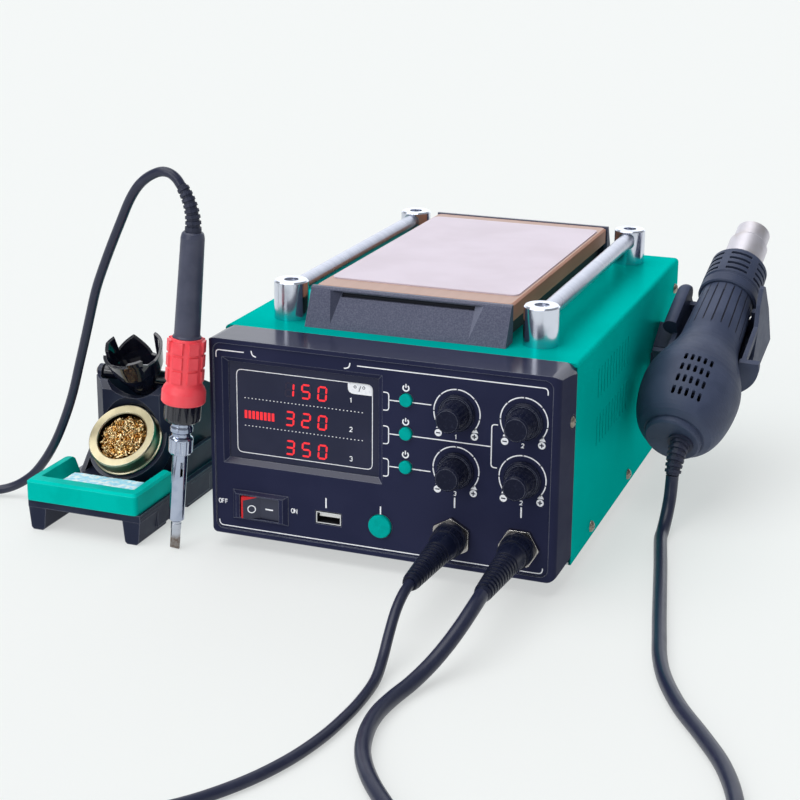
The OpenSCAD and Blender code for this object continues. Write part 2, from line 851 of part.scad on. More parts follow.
module plate_rear_cap() {
  half = plate_w / 2 + 0.6;
  top = plate_top + 0.4;
  color([0.1, 0.1, 0.11])
    difference() {
      translate([half, 0, 0])
        rotate([0, -90, 0])
          linear_extrude(2 * half)
            polygon([
              [case_top, plate_y1 + 11], [top - 0.6, plate_y1 + 2.8], [top, plate_y1 + 2],
              [top, plate_y1 + fit], [case_top, plate_y1 + fit]
            ]);
      translate([half - 2.2, 0, 0])
        rotate([0, -90, 0])
          linear_extrude(2 * half - 4.4)
            polygon([
              [case_top - 1, plate_y1 + 8], [top - 4, plate_y1 + 2.4],
              [top - 4, plate_y1 - 1], [case_top - 1, plate_y1 - 1]
            ]);
    }
}

module guide_posts() {
  color([0.85, 0.86, 0.88])
    for (x = [-1, 1] * rod_pitch / 2, i = [0, 1])
      difference() {
        union() {
          translate([x, post_y[i], case_top])
            cylinder(h = post_h - 0.8, d = post_d);
          translate([x, post_y[i], case_top + post_h - 0.8 - eps])
            cylinder(h = 0.8, d1 = post_d, d2 = post_d - 1.6);
        }
        translate([x, post_y[i], case_top + post_h - 3])
          cylinder(h = 4, d = 7.6);
        translate([x, post_y[i], case_top - 1])
          cylinder(h = 8, d = 3.6);
        // the rod's hole, with a shallow ring round its mouth
        bar_y(x, rod_z, i == 0 ? post_y[i] : post_y[i] - post_d, i == 0 ? post_y[i] + post_d : post_y[i],
           rod_d + 2 * run);
        bar_y(x, rod_z, i == 0 ? post_y[i] + post_d / 2 - 1.2 : post_y[i] - post_d,
           i == 0 ? post_y[i] + post_d : post_y[i] - post_d / 2 + 1.2, rod_d + 1.2);
      }
}

module guide_rods() {
  color([0.86, 0.87, 0.89])
    for (x = [-1, 1] * rod_pitch / 2)
      bar_y(x, rod_z, post_y[0] + 0.5, post_y[1] - 0.5, rod_d);
}

module rubber_feet() {
  color([0.06, 0.06, 0.06])
    for (x = [-76, 76], y = [front_y + 40, back_y - 22])
      translate([x, y, 0])
        difference() {
          cylinder(h = foot_h, d1 = 16, d2 = 19);
          translate([0, 0, -1])
            cylinder(h = 3, d = 7);
        }
}

// A round-headed screw with a cross slot, its head at the origin and its shank along minus Z
module pan_screw(d, head_d, length) {
  difference() {
    union() {
      rotate_extrude()
        polygon([
          [0, 0], [head_d / 2, 0], [head_d / 2 - 0.2, 0.7], [head_d / 2 - 0.9, 1.4],
          [head_d / 4, 1.8], [0, 1.9]
        ]);
      translate([0, 0, -length])
        cylinder(h = length + eps, d = d, $fn = 20);
    }
    for (a = [0, 90])
      rotate([0, 0, a])
        translate([-0.35, -head_d / 4, 0.9])
          cube([0.7, head_d / 2, 2]);
  }
}

module screws() {
  color([0.75, 0.72, 0.66]) {
    for (m = [0, 1])
      mirror([m, 0, 0]) {
        for (s = cover_screws)
          translate([side_x, s[0], s[1]])
            rotate([0, 90, 0])
              pan_screw(2.9, 6.2, 2.2 + slip);
        translate([bezel_seat_x, bezel_screw.x, bezel_screw.y])
          rotate([0, 90, 0])
            pan_screw(2.9, 6.2, 5);
      }
    // screws of the gun's holder
    for (s = holder_screws)
      translate([side_x + 3, s[0], s[1]])
        rotate([0, 90, 0])
          pan_screw(3.2, 7, 3 + sheet_t + 1);
    // screws that hold the posts from inside
    for (x = [-1, 1] * rod_pitch / 2, y = post_y)
      translate([x, y, case_top - sheet_t])
        rotate([180, 0, 0])
          pan_screw(3.4, 7.4, sheet_t + 5);
    // the holder's two pivot screws
    for (m = [0, 1])
      translate(stand_at + pivot_at)
        mirror([m, 0, 0])
          translate([tower_half, 0, 0])
            rotate([0, 90, 0])
              pan_screw(pivot_d, 6.4, 7.4);
  }
}

module power_inlet() {
  w = inlet_w;
  h = inlet_h;
  y1 = back_y + 1;
  color([0.05, 0.05, 0.05])
    difference() {
      union() {
        front_to_back(back_y - 2, y1)
          translate([inlet_x, inlet_z])
            round_rect(w + 20, h + 4, 4);
        block(
          [inlet_x - w / 2, back_y - 22, inlet_z - h / 2],
          [inlet_x + w / 2, back_y - 1, inlet_z + h / 2]
        );
      }
      front_to_back(back_y - 17, y1 + 1)
        translate([inlet_x, inlet_z])
          polygon([
            [-w / 2 + 2, -h / 2 + 2], [w / 2 - 2, -h / 2 + 2], [w / 2 - 2, h / 2 - 5],
            [w / 2 - 5, h / 2 - 2], [-w / 2 + 5, h / 2 - 2], [-w / 2 + 2, h / 2 - 5]
          ]);
      for (x = [-20, 20])
        bar_y(inlet_x + x, inlet_z, back_y - 6, y1 + 1, 3.4);
    }
  color([0.8, 0.8, 0.8])
    for (p = [[-7, -2], [0, 3], [7, -2]])
      block([inlet_x + p[0] - 1, back_y - 20, inlet_z + p[1] - 2.5],
         [inlet_x + p[0] + 1, back_y - 4, inlet_z + p[1] + 2.5]);
}

// Iron core of plates with a wound coil through its window
module transformer() {
  x0 = -50;
  y0 = 30;
  color([0.35, 0.35, 0.38])
    difference() {
      union() {
        block([x0 - 33, y0, floor_z + 3], [x0 + 33, y0 + 30, floor_z + 58]);
        block([x0 - 40, y0 + 5, floor_z], [x0 + 40, y0 + 25, floor_z + 3 + eps]);
      }
      for (x = [-22, 11])
        block([x0 + x, y0 - 1, floor_z + 14], [x0 + x + 11, y0 + 31, floor_z + 47]);
      for (x = [-36, 36])
        translate([x0 + x, y0 + 15, floor_z - 1])
          cylinder(h = 5, d = 4.2);
    }
  color([0.75, 0.45, 0.15])
    difference() {
      translate([x0 - 21.5, y0 - 10, floor_z + 14.5])
        cube([43, 50, 32]);
      translate([x0 - 11, y0 - 0.01, floor_z + 10])
        cube([22, 30.02, 40]);
    }
}

// Small diaphragm pump: a motor, a head and a hose spigot
module vacuum_pump() {
  x0 = 40;
  y0 = 20;
  axis_z = floor_z + 17;
  color([0.7, 0.71, 0.72]) {
    bar_y(x0, axis_z, y0, y0 + 38, 27);
    block([x0 - 14, y0 + 4, floor_z], [x0 + 14, y0 + 30, floor_z + 6]);
  }
  color([0.12, 0.12, 0.13]) {
    block([x0 - 15, y0 + 38 - eps, floor_z], [x0 + 15, y0 + 56, floor_z + 40]);
    for (x = [-7, 7])
      translate([x0 + x, y0 + 47, floor_z + 40 - eps])
        cylinder(h = 9, d = 5);
  }
}

// Hot-air gun, made along Z from its end face and then laid in its holder

module gun_place() {
  translate(gun_at)
    rotate([0, 0, gun_turn])
      rotate([-gun_lean, 0, 0])
        children();
}

bulb_r = gun_bulb_d / 2;
neck_r = gun_neck_d / 2;
waist_r = neck_r + 1.6;

// Outer radius of the gun's body at a distance from its end face
function gun_r(s) =
  s < bulb_s ? 16 + (bulb_r - 16) * sqrt(1 - pow((bulb_s - s) / (bulb_s - 3.9), 2))
  : s < neck_s ? waist_r + (bulb_r - waist_r) * (0.5 + 0.5 * cos(180 * (s - bulb_s) / (neck_s - bulb_s)))
  : waist_r + (neck_r - waist_r) * (s - neck_s) / (collar_s - neck_s);

gun_stations = concat([for (s = [4:2:bulb_s - 1]) s], [for (s = [bulb_s:4:neck_s]) s], [shell_end]);

module gun_profile(inset) {
  polygon(concat(
    [[0, inset], [cap_d / 2 - 1 - inset, inset], [cap_d / 2 - inset, 1 + inset], [cap_d / 2 - inset, 4]],
    [for (s = gun_stations) [gun_r(s) - inset, s]],
    [[0, shell_end]]
  ));
}

boot_x = 5;
vent_s = 15.5;
vent_pitch = [3.6, 7.6];
motor_s = [49, 71];
motor_d = 20;

// Hollow body with vents over the fan and fine grooves along the neck
module gun_shell() {
  difference() {
    rotate_extrude()
      gun_profile(0);
    rotate_extrude()
      gun_profile(gun_wall);
    translate([0, 0, shell_end - 6])
      cylinder(h = 20, d = 2 * (neck_r - gun_wall));
    // mouth for the cord's boot
    translate([boot_x, 0, -1])
      cylinder(h = 6, d = 9);
    // vents
    rotate([0, 0, gun_roll])
      for (row = [0:3], k = [-2:2])
        translate([k * vent_pitch[0], -30, vent_s + row * vent_pitch[1]])
          rotate([-90, 0, 0])
            linear_extrude(18)
              round_rect(1.7, 4.8, 0.84);
    // grooves along the neck, up to the collar
    rotate([0, 0, gun_roll])
      for (i = [0:19])
        rotate([0, 0, 18 * i + 9])
          translate([waist_r + 0.1, 0, neck_s])
            rotate([0, -atan((waist_r - neck_r) / (collar_s - neck_s)), 0])
              translate([0, 0, i % 2 == 0 ? 0 : 3])
                cylinder(h = collar_s - neck_s - 6, r = 0.5, $fn = 12);
  }
}

module half(sign) {
  translate([-60, sign > 0 ? 0 : -60, -5])
    cube([120, 60, 200]);
}

module gun_shell_upper() {
  color([0.16, 0.17, 0.23])
    gun_place()
      intersection() {
        gun_shell();
        half(-1);
      }
}

// The lower half also carries the fan's motor on two ribs
module gun_shell_lower() {
  color([0.16, 0.17, 0.23])
    gun_place() {
      intersection() {
        gun_shell();
        half(1);
      }
      difference() {
        union() {
          translate([0, 0, motor_s[0]])
            cylinder(h = motor_s[1] - motor_s[0], d = motor_d);
          for (s = [motor_s[0] + 1, motor_s[1] - 4])
            translate([-2, 0, s])
              cube([4, gun_r(s + 3) - gun_wall + 0.4, 3]);
        }
        translate([0, 0, motor_s[0] - 1])
          cylinder(h = 16, d = 3 + 2 * run, $fn = 24);
      }
    }
}

// A slot round part of the collar
module collar_slot(s, from, to, radius) {
  translate([0, 0, s])
    rotate([0, 0, from])
      rotate_extrude(angle = to - from)
        translate([radius - 4, 0])
          square([8, 1.9]);
}

module gun_collar() {
  r = collar_d / 2;
  color([0.15, 0.16, 0.22])
    gun_place()
      difference() {
        translate([0, 0, collar_s])
          rotate_extrude()
            polygon([
              [neck_r + slip, 0], [r - 0.8, 0], [r, 0.8], [r, 6], [r - 0.7, 6.8], [r - 0.7, 7.8],
              [r, 8.6], [r - 0.6, collar_l - 3], [r - 2.4, collar_l - 0.6], [r - 4, collar_l],
              [nozzle_d / 2 + 2, collar_l], [nozzle_d / 2 + 2, collar_l - 3], [r - 3, collar_l - 4],
              [r - 2.6, 6], [neck_r + slip, 6]
            ]);
        for (row = [0:3], k = [0:5])
          collar_slot(collar_s + 10 + row * 4.3, gun_roll - 112 + k * 60, gun_roll - 68 + k * 60, r);
      }
}

module gun_nozzle() {
  r = nozzle_d / 2;
  color([0.74, 0.73, 0.75])
    gun_place()
      rotate_extrude()
        polygon([
          [r + 0.4, collar_s + 6.5], [r + 3, collar_s + 6.5], [r + 3, collar_s + 8],
          [r + 1.5, collar_s + 8.6], [r + 1.5, step_s - 1], [r + 0.1, step_s + 0.8],
          [r, step_s + 1.2], [r, gun_l - 0.3], [r - 0.3, gun_l], [r - 0.7, gun_l],
          [r - 0.8, gun_l - 0.4], [r - 0.8, step_s + 0.8], [r + 0.6, step_s - 1], [r + 0.6, collar_s + 8]
        ]);
}

// Ceramic core with air channels
module gun_heater() {
  color([0.85, 0.82, 0.76])
    gun_place()
      difference() {
        union() {
          translate([0, 0, collar_s + 8])
            cylinder(h = gun_l - collar_s - 14, d = nozzle_d - 4);
          translate([0, 0, collar_s + 9])
            cylinder(h = 3, d = nozzle_d + 1);
        }
        for (ring = [[3.2, 5], [6, 9]], i = [0:ring[1] - 1])
          rotate([0, 0, 360 * i / ring[1]])
            translate([ring[0], 0, collar_s])
              cylinder(h = 80, d = 2.4, $fn = 20);
      }
}

fan_s = 25;
fan_blades = 9;

// A point on one side of a curved blade, from the hub at 0 to the rim at 1
function blade_point(f, t) =
  let(r = 3.8 + 12.6 * f, a = 46 * f * f + t / r * 180 / PI)
    [r * cos(a), r * sin(a)];

// Blower wheel with curved blades on a back disc
module gun_fan() {
  color([0.2, 0.2, 0.22])
    gun_place()
      translate([0, 0, fan_s]) {
        cylinder(h = 12, d = 9);
        translate([0, 0, 11])
          cylinder(h = 1.6, d = 34);
        for (i = [0:fan_blades - 1])
          rotate([0, 0, 360 * i / fan_blades])
            linear_extrude(11.5)
              polygon(concat(
                [for (f = [0:0.2:1]) blade_point(f, 0)],
                [for (f = [1:-0.2:0]) blade_point(f, 1.1)]
              ));
        translate([0, 0, 11])
          cylinder(h = motor_s[0] + 12 - fan_s - 11, d = 3, $fn = 24);
      }
}

gun_dir = [
  -sin(gun_turn) * sin(gun_lean),
  cos(gun_turn) * sin(gun_lean),
  cos(gun_lean)
];
down_side = carried([0, 0, -1], gun_dir);
boot_at = gun_at + boot_x * [cos(gun_turn), sin(gun_turn), 0];
gun_boot_l = 18;
gun_boot_bend = 45;

module gun_boot() {
  color([0.1, 0.1, 0.13]) {
    gun_place()
      translate([boot_x, 0, 0]) {
        translate([0, 0, -1.6])
          cylinder(h = 1.6 - eps, d = 14);
        translate([0, 0, -1.7])
          cylinder(h = 8, d = 8.6);
      }
    ribbed_boot(boot_at - gun_dir * 1.5, -gun_dir, down_side, gun_boot_bend, gun_boot_l, 11, 8.6, 6);
  }
}

// Trough on the case that carries the gun, with an outer plate, a round finger and two forks
holder_half = 20.6;
holder_wall = 2.6;
holder_s = [64, 110];
holder_arm_s = [75, 95];

// Half a disc across the gun's axis, on its lower side
module half_disc(r, s, t) {
  intersection() {
    translate([0, 0, s])
      cylinder(h = t, r = r);
    block([-r - 1, 0, s - 1], [r + 1, r + 1, s + t + 1]);
  }
}

module holder_plate() {
  translate([holder_half + holder_wall / 2, 0, 0])
    rotate([0, -90, 0])
      linear_extrude(holder_wall, center = true)
        polygon([
          [66, 13], [66.5, 18], [70, 21.5], [76, 24], [86, 26.2], [112, 28.6], [115, 6],
          [113.4, -12], [112, -14], [109.4, -14.6], [101, -9], [90, 3], [80, 11]
        ]);
}

module holder_finger() {
  r = 5.2;
  x = -holder_half - 3;
  top = 109;
  translate([x, -4, 80])
    cylinder(h = top - 80, r = r);
  translate([x, -4, top])
    sphere(r);
  block([-holder_half - holder_wall, -4, 80], [-holder_half, 1, top]);
}

module gun_holder() {
  out_r = holder_half + holder_wall;
  long = holder_s[1] - holder_s[0];
  color([0.13, 0.14, 0.19])
    difference() {
      union() {
        gun_place() {
          difference() {
            union() {
              half_disc(out_r, holder_s[0], long);
              holder_plate();
              holder_finger();
              block([-45, 8, holder_arm_s[0]], [-8, out_r, holder_arm_s[1]]);
            }
            translate([0, 0, holder_s[0] - 1])
              cylinder(h = long + 10, r = holder_half);
            block([-holder_half, -40, holder_s[0]], [holder_half, 0, holder_s[1] + 10]);
          }
          // end fork with a round outline, and the fork under the collar
          difference() {
            half_disc(holder_half + 10.4, holder_s[0], 3);
            translate([0, 0, holder_s[0] - 1])
              cylinder(h = 5, r = gun_r(holder_s[0]) + fit);
          }
          difference() {
            half_disc(holder_half + 1, holder_s[1] - 6, 3);
            translate([0, 0, holder_s[1] - 7])
              cylinder(h = 5, r = neck_r + 1);
          }
        }
        block(
          [side_x, holder_plate_y[0], holder_plate_z[0]],
          [side_x + 3, holder_plate_y[1], holder_plate_z[1]]
        );
      }
      block([side_x - 60, -100, -50], [side_x, 250, 250]);
      for (s = holder_screws)
        translate([side_x - 1, s[0], s[1]])
          rotate([0, 90, 0])
            cylinder(h = 6, d = 3.4);
    }
}

// Stand, made from its front left corner of the table upwards

module stand_place() {
  translate(stand_at)
    children();
}

half_w = stand_w / 2;
tower_half = tower_w / 2;

// Side view of the tower as Y and Z
tower_side = [
  [tower_y0, leg_h], [tower_y0, tower_front_h], [tower_y0 + 3.5, tower_front_h + 4],
  [tower_y0 + 10, tower_front_h + 5], [tower_y0 + 26, tower_front_h + 5],
  [tower_y1, tower_front_h - 11], [tower_y1, leg_h]
];

module tower_plan(inset) {
  c = 8;
  polygon([
    [-tower_half + inset, tower_y0 + c], [-tower_half + c, tower_y0 + inset],
    [tower_half - c, tower_y0 + inset], [tower_half - inset, tower_y0 + c],
    [tower_half - inset, tower_y1 - inset], [-tower_half + inset, tower_y1 - inset]
  ]);
}

module tin_place() {
  translate(tin_mid)
    rotate([90 - tin_lean, 0, 0])
      children();
}

pocket_s = 9.6;
tin_l = 17;
cup_wall = 3;
bead = 0.7;
tin_mouth_r = tin_d / 2 - 5.2;

module leg(x, y0, y1) {
  translate([x, 0, 0])
    front_to_back(y0, y1)
      polygon([[-5.4, leg_h + 1], [-4, 1.2], [-2.8, 0], [2.8, 0], [4, 1.2], [5.4, leg_h + 1]]);
}

module stand_base() {
  color([0.05, 0.05, 0.08])
    stand_place()
      difference() {
        union() {
          // deck with a rim under it
          difference() {
            block([-half_w + 0.6, 0.8, leg_h - 1], [half_w - 0.6, tower_y1 + 6, deck_z]);
            block([-half_w + 3.2, 3.4, leg_h - 2], [half_w - 3.2, tower_y1 + 3.4, deck_z - 2.4]);
          }
          for (x = [-1, 1]) {
            leg(x * (half_w - 5.9), 0.9, 31);
            leg(x * (half_w - 5.9), 58, tower_y1 + 5.8);
            translate([x * (half_w - 1.9) - 1.3, 20, 3.4])
              cube([2.6, 60, leg_h - 3.4]);
          }
          // sides that rise from the deck to the tower
          for (x = [-1, 1])
            translate([x * (tower_half + 3.2), 0, 0])
              rotate([90, 0, -90])
                linear_extrude(2.6, center = true)
                  polygon([
                    [-48, deck_z - 0.5], [-tower_y0 - 8, 30],
                    [-tower_y1 + 20, 30], [-tower_y1, deck_z - 0.5]
                  ]);
          // tower
          difference() {
            intersection() {
              translate([0, 0, leg_h])
                linear_extrude(80)
                  tower_plan(0);
              rotate([90, 0, 90])
                linear_extrude(tower_w + 2, center = true)
                  polygon(tower_side);
            }
            difference() {
              translate([0, 0, deck_z])
                linear_extrude(90)
                  tower_plan(stand_wall);
              // the front wall is thicker over the tin's pocket
              block([-tower_half, tower_y0, tin_mid.z], [tower_half, tower_y0 + 2 * stand_wall, 90]);
            }
            // open cradle for the holder
            translate([pivot_at.x, tower_y0 - 1, tower_front_h + 18])
              rotate([-90, 0, 0])
                cylinder(h = 20, r = 21.4);
          }
          // cup for the tin
          intersection() {
            tin_place()
              translate([0, 0, -tin_l - 2])
                cylinder(h = tin_l + 2 - pocket_s, d = tin_d + 2 * cup_wall);
            block([-40, 10, leg_h], [40, tower_y1, 60]);
          }
          // ears for the holder's pivot
          for (x = [-1, 1])
            translate([x * (tower_half - stand_wall / 2), pivot_at.y, pivot_at.z])
              rotate([0, 90, 0])
                cylinder(h = stand_wall, r = 4, center = true);
        }
        tin_place()
          translate([0, 0, -tin_l - slip])
            cylinder(h = 40, d = tin_d + 2 * fit);
        // room for the tin's bead on its way out
        tin_place()
          translate([0, 0, -pocket_s])
            cylinder(h = 40, d = tin_d + 2 * bead + 4 * fit);
        translate([pivot_at.x - 40, pivot_at.y, pivot_at.z])
          rotate([0, 90, 0])
            cylinder(h = 80, d = pivot_d + slip, $fn = 24);
      }
}

tray_w = 66;
tray_l = 41;
tray_x = -1;
tray_floor_y = 34;
sponge_y = [14, 32];

// Tray with a sloping inner edge, open at the rear where the sponge runs in under the tin
module sponge_tray() {
  color([0, 0.68, 0.58])
    stand_place()
      translate([tray_x, 0, deck_z + 0.05])
        difference() {
          union() {
            translate([0, tray_l / 2 - 0.2, 0])
              linear_extrude(tray_h - 1.2)
                round_rect(tray_w, tray_l, 2.5);
            hull() {
              translate([0, tray_l / 2 - 0.2, tray_h - 1.3])
                linear_extrude(eps)
                  round_rect(tray_w, tray_l, 2.5);
              translate([0, tray_l / 2 - 0.2, tray_h - eps])
                linear_extrude(eps)
                  round_rect(tray_w - 3, tray_l - 3, 2.5);
            }
          }
          hull() {
            block([-24, 13, 1.8], [24, 60, 2]);
            block([-24.5, 12.5, tray_h - 3.5], [24.5, 60, tray_h - 3.4]);
            block([-28, 7, tray_h + 0.5], [28, 60, tray_h + 0.6]);
          }
          // the floor ends in front of the tin's cup
          block([-24.6, tray_floor_y, -1], [24.6, 60, 4]);
        }
}

module sponge() {
  color([0.55, 0.78, 0.92])
    stand_place()
      translate([tray_x, (sponge_y[0] + sponge_y[1]) / 2, deck_z + 2])
        linear_extrude(5.2)
          round_rect(46.5, sponge_y[1] - sponge_y[0], 2);
}

// A cup with a bead over the pocket and a rim that turns in
module brass_tin() {
  r = tin_d / 2;
  color([0.78, 0.7, 0.45])
    stand_place()
      tin_place()
        rotate_extrude()
          polygon([
            [0, -tin_l], [r - 0.5, -tin_l], [r, -tin_l + 0.5], [r, -pocket_s + 0.5],
            [r + bead, -pocket_s + 0.6], [r + bead + 0.2, -pocket_s + 1.1], [r + bead, -pocket_s + 1.6],
            [r, -pocket_s + 1.8], [r, -0.8], [r - 0.6, 0], [tin_mouth_r + 0.6, -0.4],
            [tin_mouth_r, -1], [tin_mouth_r + 0.3, -1.5], [r - 1, -1.2], [r - 0.8, -tin_l + 0.8],
            [0, -tin_l + 0.8]
          ]);
}

module brass_wool() {
  r = tin_d / 2 - 1.2;
  inner_r = tin_mouth_r - 0.6;
  color([0.72, 0.52, 0.22])
    stand_place()
      tin_place()
        rotate_extrude()
          polygon([
            [0, -tin_l + 0.9], [r, -tin_l + 0.9], [r, -3], [inner_r, -2],
            [inner_r * 0.8, -0.4], [inner_r * 0.4, 0.6], [0, 0.8]
          ]);
}

// Funnel with lobes round its mouth and two pivot ears
funnel_wall = 1.8;
ring_h = 19.7;
ring_r = 16.7;

// Cuts the rim of the funnel down to a line of [across, height] points that faces the angle a
module rim_cut(a, points) {
  far = 26;
  rotate([0, 0, a])
    translate([6, 0, 0])
      rotate([90, 0, 90])
        linear_extrude(20)
          polygon(concat([[points[0][0], far]], points, [[points[len(points) - 1][0], far]]));
}

module iron_holder() {
  top_h = ring_h + 3.5;
  color([0.03, 0.03, 0.04])
    stand_place()
      translate(pivot_at)
        rotate([holder_lean, 0, 0])
          difference() {
            union() {
              rotate_extrude()
                polygon([
                  [0, -8], [7.4, -8], [9.1, -4.3], [10.4, -0.6], [14.1, 7.7], [ring_r - 0.5, ring_h - 2],
                  [ring_r, ring_h], [ring_r + 0.6, top_h], [0, top_h]
                ]);
              for (x = [-1, 1])
                rotate([-holder_lean, 0, 0])
                  translate([x * 15.5, 0, 0])
                    rotate([0, 90, 0])
                      cylinder(h = 12, d = 8, center = true);
            }
            rotate_extrude()
              polygon([
                [0, -9], [7.4 - funnel_wall, -9], [9.1 - funnel_wall, -4.3], [10.4 - funnel_wall, -0.6],
                [14.1 - funnel_wall, 7.7], [ring_r - 0.5 - funnel_wall, ring_h - 2],
                [ring_r - funnel_wall, ring_h], [ring_r + 0.8 - funnel_wall, top_h + 1], [0, top_h + 1]
              ]);
            // front rim, with one raised lobe left beside it
            rim_cut(255, [[-14, ring_h + 0.3], [0, ring_h + 0.6], [9, ring_h + 1]]);
            rim_cut(345, [
              [-8, ring_h + 0.5], [-4.4, ring_h - 2.5], [0, ring_h - 3], [4.5, ring_h - 2.3], [10, ring_h + 0.3]
            ]);
            rim_cut(45, [[-11, ring_h - 0.2], [5, ring_h - 0.2], [10, ring_h - 1]]);
            // deep notch at the back with one upright side
            rim_cut(88, [[-6, 6.5], [-4.5, 5.7], [-2, 5.7], [8, ring_h - 2.4]]);
            rim_cut(135, [[-7, ring_h - 2.4], [5.4, ring_h - 7]]);
            rim_cut(165, [[-4, ring_h + 0.5], [5, ring_h + 1]]);
            rim_cut(190, [
              [-4.5, ring_h + 1], [0, ring_h - 1.6], [2, ring_h - 5], [3.8, ring_h - 1], [13, ring_h - 0.4]
            ]);
            rotate([-holder_lean, 0, 0])
              translate([-40, 0, 0])
                rotate([0, 90, 0])
                  cylinder(h = 80, d = pivot_d + 2 * run, $fn = 24);
          }
}

// Soldering iron, made along Z from its tip and then leant on the corner of the case

module iron_place() {
  translate(iron_at)
    rotate(iron_turn)
      children();
}

barrel_s = 15.4;
nut_s = 52.3;
neck_top = 69.4;
lock_s = 69.6;
grip_s = 80;
grip_end = 114;
neck_r_iron = 5.2;
core_r = grip_d / 2 - 1.8;
handle_end = 168;

// Chisel tip on a round shank that runs up into the barrel
module iron_tip() {
  color([0.45, 0.43, 0.42])
    iron_place()
      difference() {
        union() {
          cylinder(h = 30, d = tip_d);
          translate([0, 0, 11])
            cylinder(h = 3, d = tip_d + 0.3);
        }
        for (m = [0, 1])
          mirror([0, m, 0])
            translate([-10, 0.5, -0.1])
              rotate([-13, 0, 0])
                cube([20, 10, 20]);
      }
}

module iron_barrel() {
  r = barrel_d / 2;
  color([0.8, 0.81, 0.83])
    iron_place()
      difference() {
        rotate_extrude()
          polygon([
            [tip_d / 2 + run, barrel_s], [r - 0.9, barrel_s], [r, barrel_s + 0.9], [r, nut_s + 8],
            [r - 0.8, nut_s + 8], [r - 0.8, barrel_s + 3], [tip_d / 2 + run, barrel_s + 3]
          ]);
        for (a = [0:90:270])
          rotate([0, 0, a + 45])
            translate([r - 2, -0.7, nut_s - 12])
              cube([4, 1.4, 8]);
      }
}

// Fluted nut and the threaded neck above it
module iron_barrel_nut() {
  color([0.78, 0.79, 0.8])
    iron_place()
      difference() {
        rotate_extrude()
          polygon([
            [barrel_d / 2 + run, nut_s], [5.5, nut_s], [6.2, nut_s + 1], [6.2, nut_s + 8], [5.8, nut_s + 8.8],
            [4.8, nut_s + 9.6], [4.8, nut_s + 11], [5.8, nut_s + 12], [5.8, nut_s + 14],
            [neck_r_iron, nut_s + 15], [neck_r_iron, neck_top + 3], [0, neck_top + 3],
            [0, nut_s + 8.4], [barrel_d / 2 + run, nut_s + 8.4]
          ]);
        for (i = [0:11])
          rotate([0, 0, 30 * i])
            translate([6.7, 0, nut_s - 1])
              cylinder(h = 8.6, r = 0.9, $fn = 16);
      }
}

module iron_lock_nut() {
  color([0.04, 0.04, 0.06])
    iron_place()
      difference() {
        rotate_extrude()
          polygon([
            [neck_r_iron + run, lock_s], [8, lock_s], [8.9, lock_s + 0.8], [9.4, lock_s + 2.4],
            [9.4, grip_s + 1.6], [neck_r_iron + run, grip_s + 1.6]
          ]);
        for (i = [0:15])
          rotate([0, 0, 22.5 * i])
            translate([10.1, 0, lock_s - 1])
              cylinder(h = 11, r = 1.2, $fn = 16);
      }
}

// Soft grip with a flared end and raised square pads
module iron_grip() {
  r = grip_d / 2;
  color([0.93, 0.22, 0.24])
    iron_place()
      union() {
        rotate_extrude()
          polygon([
            [9.6, grip_s], [10.7, grip_s - 0.2], [11.3, grip_s + 0.6], [11.2, grip_s + 6],
            [10.4, grip_s + 7.8], [r + 0.3, grip_s + 9.4], [r, grip_s + 10.6], [r, grip_end - 4],
            [r - 0.8, grip_end - 1.6], [r - 1.2, grip_end - 0.4], [core_r + slip, grip_end],
            [core_r + slip, grip_s + 3], [9.6, grip_s + 2.2]
          ]);
        for (row = [0:2], k = [0:6])
          rotate([0, 0, 360 / 7 * (k + 0.25)])
            translate([r - 1, -2.7, grip_s + 11.4 + row * 7.6])
              cube([1.5, 5.4, 6.2]);
      }
}

module iron_handle() {
  color([0.08, 0.08, 0.1])
    iron_place()
      difference() {
        rotate_extrude()
          polygon([
            [0, grip_s + 3.4], [core_r - 0.2, grip_s + 3.4], [core_r, grip_s + 4], [core_r, grip_end + 0.4],
            [handle_d / 2, grip_end + 1.2], [handle_d / 2 - 0.6, handle_end - 3],
            [handle_d / 2 - 1.1, handle_end - 0.8], [handle_d / 2 - 1.8, handle_end], [0, handle_end]
          ]);
        translate([0, 0, handle_end - 9])
          cylinder(h = 10, d = 8.4);
        translate([0, 0, grip_s])
          cylinder(h = 7, r = neck_r_iron + run);
      }
}

iron_dir = [
  sin(iron_turn.y) * cos(iron_turn.x),
  -sin(iron_turn.x),
  cos(iron_turn.y) * cos(iron_turn.x)
];

module iron_boot() {
  color([0.06, 0.06, 0.08]) {
    iron_place()
      translate([0, 0, handle_end - 8.5])
        cylinder(h = 9.5, d = 8.2);
    ribbed_boot(
      iron_at + iron_dir * (handle_end + 0.9), iron_dir,
      carried([-1, 0.15, 0], iron_dir), 45, 23, 8.4, 6.2, 8
    );
  }
}

// Cords

module cord_color() {
  color([0.07, 0.07, 0.1])
    children();
}

// Outer shape of a neat coil that lies on the table
module coil(at, mid_d, cord_d, across, layers) {
  w = cord_d * across;
  h = cord_d * layers;
  cord_color()
    translate(at)
      rotate_extrude()
        translate([mid_d / 2 - w / 2, 0])
          square([w, h]);
}

module solder_cord_iron() {
  cord_color()
    cord_tube(solder_route_a, solder_cord_d);
}

module solder_cord_plug() {
  cord_color()
    cord_tube(solder_route_b, solder_cord_d);
}

module air_cord_gun() {
  cord_color()
    cord_tube(air_route_a, air_cord_d);
}

module air_cord_plug() {
  cord_color()
    cord_tube(air_route_b, air_cord_d);
}

module solder_coil() {
  coil(solder_coil_at, solder_coil_d, solder_cord_d, 1, 2);
}

module air_coil() {
  coil(air_coil_at, air_coil_d, air_cord_d, 1, 2);
}

